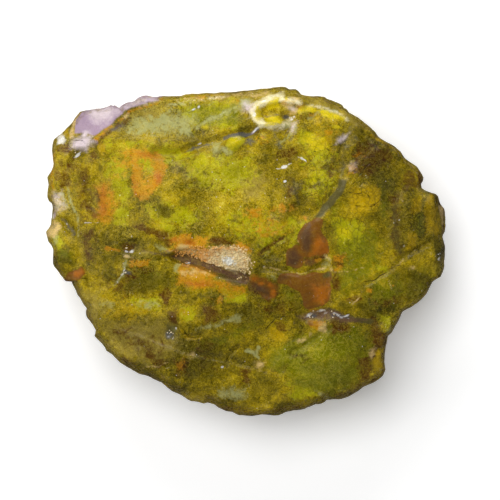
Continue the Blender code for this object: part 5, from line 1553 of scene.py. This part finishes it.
def quartz_points(places, aims, widths, lengths, spins):
    """Many quartz points: the template is scaled, spun, turned to its aim and set at its place.

    Returns points, faces, and how near each point is to its tip (0 at the foot, 1 at the tip).
    """
    template, sides, tips, foot = quartz_template()
    aims = aims / np.linalg.norm(aims, axis=1)[:, None]
    helper = np.where(np.abs(aims[:, :1]) < 0.8, (1.0, 0.0, 0.0), (0.0, 1.0, 0.0))
    across = np.cross(aims, helper)
    across /= np.linalg.norm(across, axis=1)[:, None]
    over = np.cross(aims, across)
    c, s = np.cos(spins)[:, None], np.sin(spins)[:, None]
    first, second = across * c + over * s, over * c - across * s
    wide = template[None, :, :2] * widths[:, None, None]
    tall = template[None, :, 2] * lengths[:, None]
    points = (
        places[:, None]
        + wide[..., :1] * first[:, None]
        + wide[..., 1:] * second[:, None]
        + tall[..., None] * aims[:, None]
    )
    starts = (np.arange(len(places)) * len(template))[:, None]
    faces = []
    for face in (*sides, *tips, foot):
        faces.extend((starts + np.array(face)).tolist())
    tip = np.tile(template[:, 2], len(places))
    return points.reshape(-1, 3), faces, tip


def surface_at(place, shape):
    """The finished face's height at places on it."""
    height = face_height(place)
    return height + face_relief(np.column_stack((place, height)), shape)


def surface_aim(place, shape):
    """The direction square to the finished face, by steps of a tenth of a millimetre."""
    step = 0.1
    east = surface_at(place + (step, 0.0), shape) - surface_at(place - (step, 0.0), shape)
    north = surface_at(place + (0.0, step), shape) - surface_at(place - (0.0, step), shape)
    return np.column_stack((-east / (2.0 * step), -north / (2.0 * step), np.ones(len(place))))


def grow(name, place, rng, widths, lengths, lean, lowest, shape):
    """A flat-faced mesh of quartz points rooted in the face.

    Each leans off square by chance, with so wide a spread, and its aim's upward part is at least the lowest.
    Returns the object, and how near each of its vertices is to a tip.
    """
    aims = surface_aim(place, shape) + rng.normal(0.0, lean, (len(place), 3))
    aims[:, 2] = np.maximum(aims[:, 2], lowest)
    feet = np.column_stack((place, surface_at(place, shape) - ROOT_DEPTH))
    points, faces, tip = quartz_points(feet, aims, widths, lengths, rng.uniform(0.0, np.pi, len(place)))
    made = mesh_object(name, points * MM, faces)
    made.data.shade_flat()
    add_value(made.data, "tip", tip)
    return made, tip


class OPAL_OT_lump(bpy.types.Operator):
    """Builds the opal lump over its solid and colours it."""

    bl_idname = "opal.lump"
    bl_label = "Build opal lump"

    def execute(self, context):
        shape = context.scene.opal_stone
        points, quads, triangles, rindward = stone_surface(shape)
        made = mesh_object("opal_stone", points * MM, quads.tolist() + triangles.tolist())
        belt = face_height(points[:, :2]) - points[:, 2]
        sway = 0.38 + 2.2 * smooth(1.5, 6.0, belt)
        place = points[:, :2] + wander(points, 3.2, STONE_SEED + 60) * sway[:, None]
        seen = 1.0 - smooth(*MARKS_FADE, belt)
        for name, marks in MARKS.items():
            add_value(made.data, name, mineral_share(place, marks) * seen)
        for name, marks in TONES_AND_PAINTED_LIGHT.items():
            add_value(made.data, name, mineral_share(place, marks))
        add_value(made.data, "crack", crack_nearness(place) * seen)
        add_value(made.data, "rind", rindward * np.maximum(0.55, 1.0 - seen))
        add_value(made.data, "side", 1.0 - seen)
        made.data.materials.append(opal_material(context.scene.opal_palette))
        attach(made, "root")
        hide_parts("opal_lump")
        return {"FINISHED"}


def hill(place, middle, long, wide):
    """exp(-(x^2 / long + y^2 / wide)) round a middle: 1 there, and 0 far off."""
    x, y = (place - np.array(middle)).T
    return np.exp(-(x**2 / long + y**2 / wide))


def bank_places(rng, count):
    """Places on the slit's banks: crowded at the north one's middle, fewer to its east, few on the south."""
    low, high = np.array(CRUST_LOW[:2]) / MM, np.array(CRUST_HIGH[:2]) / MM
    tried = rng.uniform(low - (3.5, 1.6), high + (1.6, 1.0), (count * 6, 2))
    into = area_depth(tried, np.array(SLIT_MOUTH))
    north = line_distance(tried, GROOVES["slit crevice"][0])[1] > 0.0
    down = slit_share(tried)
    x, y = (tried - np.array(DRUSE_MIDDLE)).T
    outward = np.clip(1.6 - np.hypot(x / 7.5, y / 3.4), 0.0, 1.0)
    eastward = 1.0 - 0.85 * smooth(-1.6, 0.8, tried[:, 0])
    chance = eastward * smooth(-0.7, 0.6, into) * (down < 0.86) * outward
    chance = np.where(north, chance, 0.06 * smooth(-0.4, 0.8, into) * (down < 0.8))
    kept = tried[rng.uniform(0.0, 1.0, len(tried)) < chance]
    return kept[:count]


class OPAL_OT_druse(bpy.types.Operator):
    """Grows the crust of quartz points on the slit's long bank."""

    bl_idname = "opal.druse"
    bl_label = "Grow druse crust"

    def execute(self, context):
        shape, druse = context.scene.opal_stone, context.scene.opal_druse
        rng = np.random.default_rng(DRUSE_SEED)
        place = bank_places(rng, druse.count)
        count = len(place)
        near = hill(place, DRUSE_MIDDLE, 18.0, 5.0)
        widths = druse.width / MM * rng.uniform(0.55, 1.4, count) * (0.65 + 0.5 * near)
        lengths = druse.length / MM * rng.uniform(0.6, 1.35, count) * widths / widths.mean()
        made, tip = grow("druse_points", place, rng, widths, lengths, 0.42, 0.5, shape)
        # Painted highlight: a bright patch near the druse's middle, made by lowering each point's value.
        painted_highlight = hill(place, PAINTED_HIGHLIGHT_MIDDLE, 1.3, 0.8)
        stain_and_painted_highlight = smooth(-2.0, -13.0, place[:, 0]) + 0.2 * (1.0 - near) + 0.5 * smooth(-0.4, 1.2, place[:, 1])
        stain_and_painted_highlight = stain_and_painted_highlight - 0.9 * painted_highlight + rng.normal(0.0, 0.12, count)
        add_value(made.data, "stain_and_painted_highlight", np.repeat(stain_and_painted_highlight, len(tip) // count))
        made.data.materials.append(druse_material(context.scene.opal_palette))
        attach(made, "root")
        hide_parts("druse_crust")
        return {"FINISHED"}


class OPAL_OT_sparkles(bpy.types.Operator):
    """Sets small groups of quartz grains in the face's open spots."""

    bl_idname = "opal.sparkles"
    bl_label = "Set quartz grains"

    def execute(self, context):
        shape, druse = context.scene.opal_stone, context.scene.opal_druse
        rng = np.random.default_rng(DRUSE_SEED + 1)
        groups = []
        for x, y, reach, grains in DRUSE_SPOTS:
            away = reach * np.sqrt(rng.uniform(0.0, 1.0, grains))
            bearing = rng.uniform(0.0, 2.0 * np.pi, grains)
            groups.append(np.column_stack((x + away * np.cos(bearing), y + 0.6 * away * np.sin(bearing))))
        place = np.vstack(groups)
        count = len(place)
        widths = druse.width / MM * rng.uniform(0.35, 0.85, count)
        lengths = widths * rng.uniform(1.1, 1.8, count)
        made, tip = grow("quartz_grains", place, rng, widths, lengths, 0.5, 0.3, shape)
        # A value below zero lightens the grains in patches, partly as painted highlight.
        add_value(made.data, "stain_and_painted_highlight", np.full(len(tip), -0.25))
        made.data.materials.append(bpy.data.materials["cream quartz druse"])
        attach(made, "root")
        return {"FINISHED"}


def softbox(name, place, side, power, mirrored=True):
    """A square lamp at a place, turned to the stone; one that isn't mirrored leaves no shine on it."""
    lamp = bpy.data.lights.new(name, "AREA")
    lamp.shape = "SQUARE"
    lamp.size = side
    lamp.energy = power
    made = bpy.data.objects.new(name, lamp)
    made.location = place
    way = np.array(LAMP_AIM) - np.array(place)
    tilt = math.pi - math.atan2(math.hypot(way[0], way[1]), way[2])
    made.rotation_euler = (tilt, 0.0, math.atan2(way[1], way[0]) - math.pi / 2.0)
    made.visible_glossy = mirrored
    bpy.context.scene.collection.objects.link(made)


class OPAL_OT_stage(bpy.types.Operator):
    """Lays the pale floor, hangs the lamps and sets the camera."""

    bl_idname = "opal.stage"
    bl_label = "Set the stage"

    def execute(self, context):
        stage = context.scene.opal_stage
        half = FLOOR_HALF_SIDE
        corners = np.array(((-half, -half, 0.0), (half, -half, 0.0), (half, half, 0.0), (-half, half, 0.0)))
        floor = mesh_object("pale_floor", corners, [(0, 1, 2, 3)])
        paper = bpy.data.materials.new("pale floor")
        paper.use_nodes = True
        surface = paper.node_tree.nodes["Principled BSDF"]
        surface.inputs["Base Color"].default_value = (*stage.floor_colour, 1.0)
        surface.inputs["Roughness"].default_value = 0.9
        surface.inputs["Specular IOR Level"].default_value = 0.1
        surface.inputs["Emission Color"].default_value = (1.0, 1.0, 1.0, 1.0)
        surface.inputs["Emission Strength"].default_value = 0.25
        floor.data.materials.append(paper)
        floor.visible_glossy = False

        softbox("key_softbox", (-0.12, 0.14, 0.62), 0.35, stage.key_power, mirrored=False)
        softbox("far_softbox", (-0.06, 0.5, 0.3), 0.3, stage.fill_power)
        softbox("left_softbox", (-0.5, 0.04, 0.34), 0.3, 0.45 * stage.fill_power)
        softbox("right_softbox", (0.5, 0.0, 0.3), 0.3, 0.16 * stage.fill_power)
        softbox("low_softbox", (0.0, -0.5, 0.34), 0.3, 0.16 * stage.fill_power)

        world = bpy.data.worlds.new("soft studio")
        world.use_nodes = True
        world.node_tree.nodes["Background"].inputs["Color"].default_value = (1.0, 1.0, 1.0, 1.0)
        world.node_tree.nodes["Background"].inputs["Strength"].default_value = 0.05
        context.scene.world = world
        context.scene.view_settings.view_transform = "Standard"

        lens = bpy.data.cameras.new("camera")
        lens.lens = stage.lens
        lens.sensor_width = SENSOR_WIDTH
        lens.clip_start = 0.01
        camera = bpy.data.objects.new("camera", lens)
        distance = PICTURE_SPAN * stage.lens / SENSOR_WIDTH
        camera.location = (*PICTURE_MIDDLE, BELT_HEIGHT + distance)
        context.scene.collection.objects.link(camera)
        context.scene.camera = camera
        return {"FINISHED"}


class OPAL_PT_panel(bpy.types.Panel):
    """The stone's sizes, colours and steps."""

    bl_idname = "OPAL_PT_panel"
    bl_label = "Chloropal opal"
    bl_space_type = "VIEW_3D"
    bl_region_type = "UI"
    bl_category = "Opal"

    def draw(self, context):
        scene = context.scene
        for group in (scene.opal_stone, scene.opal_druse, scene.opal_palette, scene.opal_stage):
            box = self.layout.box()
            for name in group.__annotations__:
                box.prop(group, name)
        for operator in OPERATORS:
            self.layout.operator(operator.bl_idname)


GROUPS = {
    "opal_stone": StoneShape,
    "opal_druse": DruseShape,
    "opal_palette": StonePalette,
    "opal_stage": StageSettings,
}
OPERATORS = (OPAL_OT_lump, OPAL_OT_druse, OPAL_OT_sparkles, OPAL_OT_stage)
CLASSES = (*GROUPS.values(), *OPERATORS, OPAL_PT_panel)


def register():
    for made in CLASSES:
        bpy.utils.register_class(made)
    for name, group in GROUPS.items():
        setattr(bpy.types.Scene, name, bpy.props.PointerProperty(type=group))


def unregister():
    for name in GROUPS:
        delattr(bpy.types.Scene, name)
    for made in reversed(CLASSES):
        bpy.utils.unregister_class(made)


def main():
    register()
    bpy.ops.opal.lump()
    bpy.ops.opal.druse()
    bpy.ops.opal.sparkles()
    bpy.ops.opal.stage()


if __name__ == "__main__":
    main()
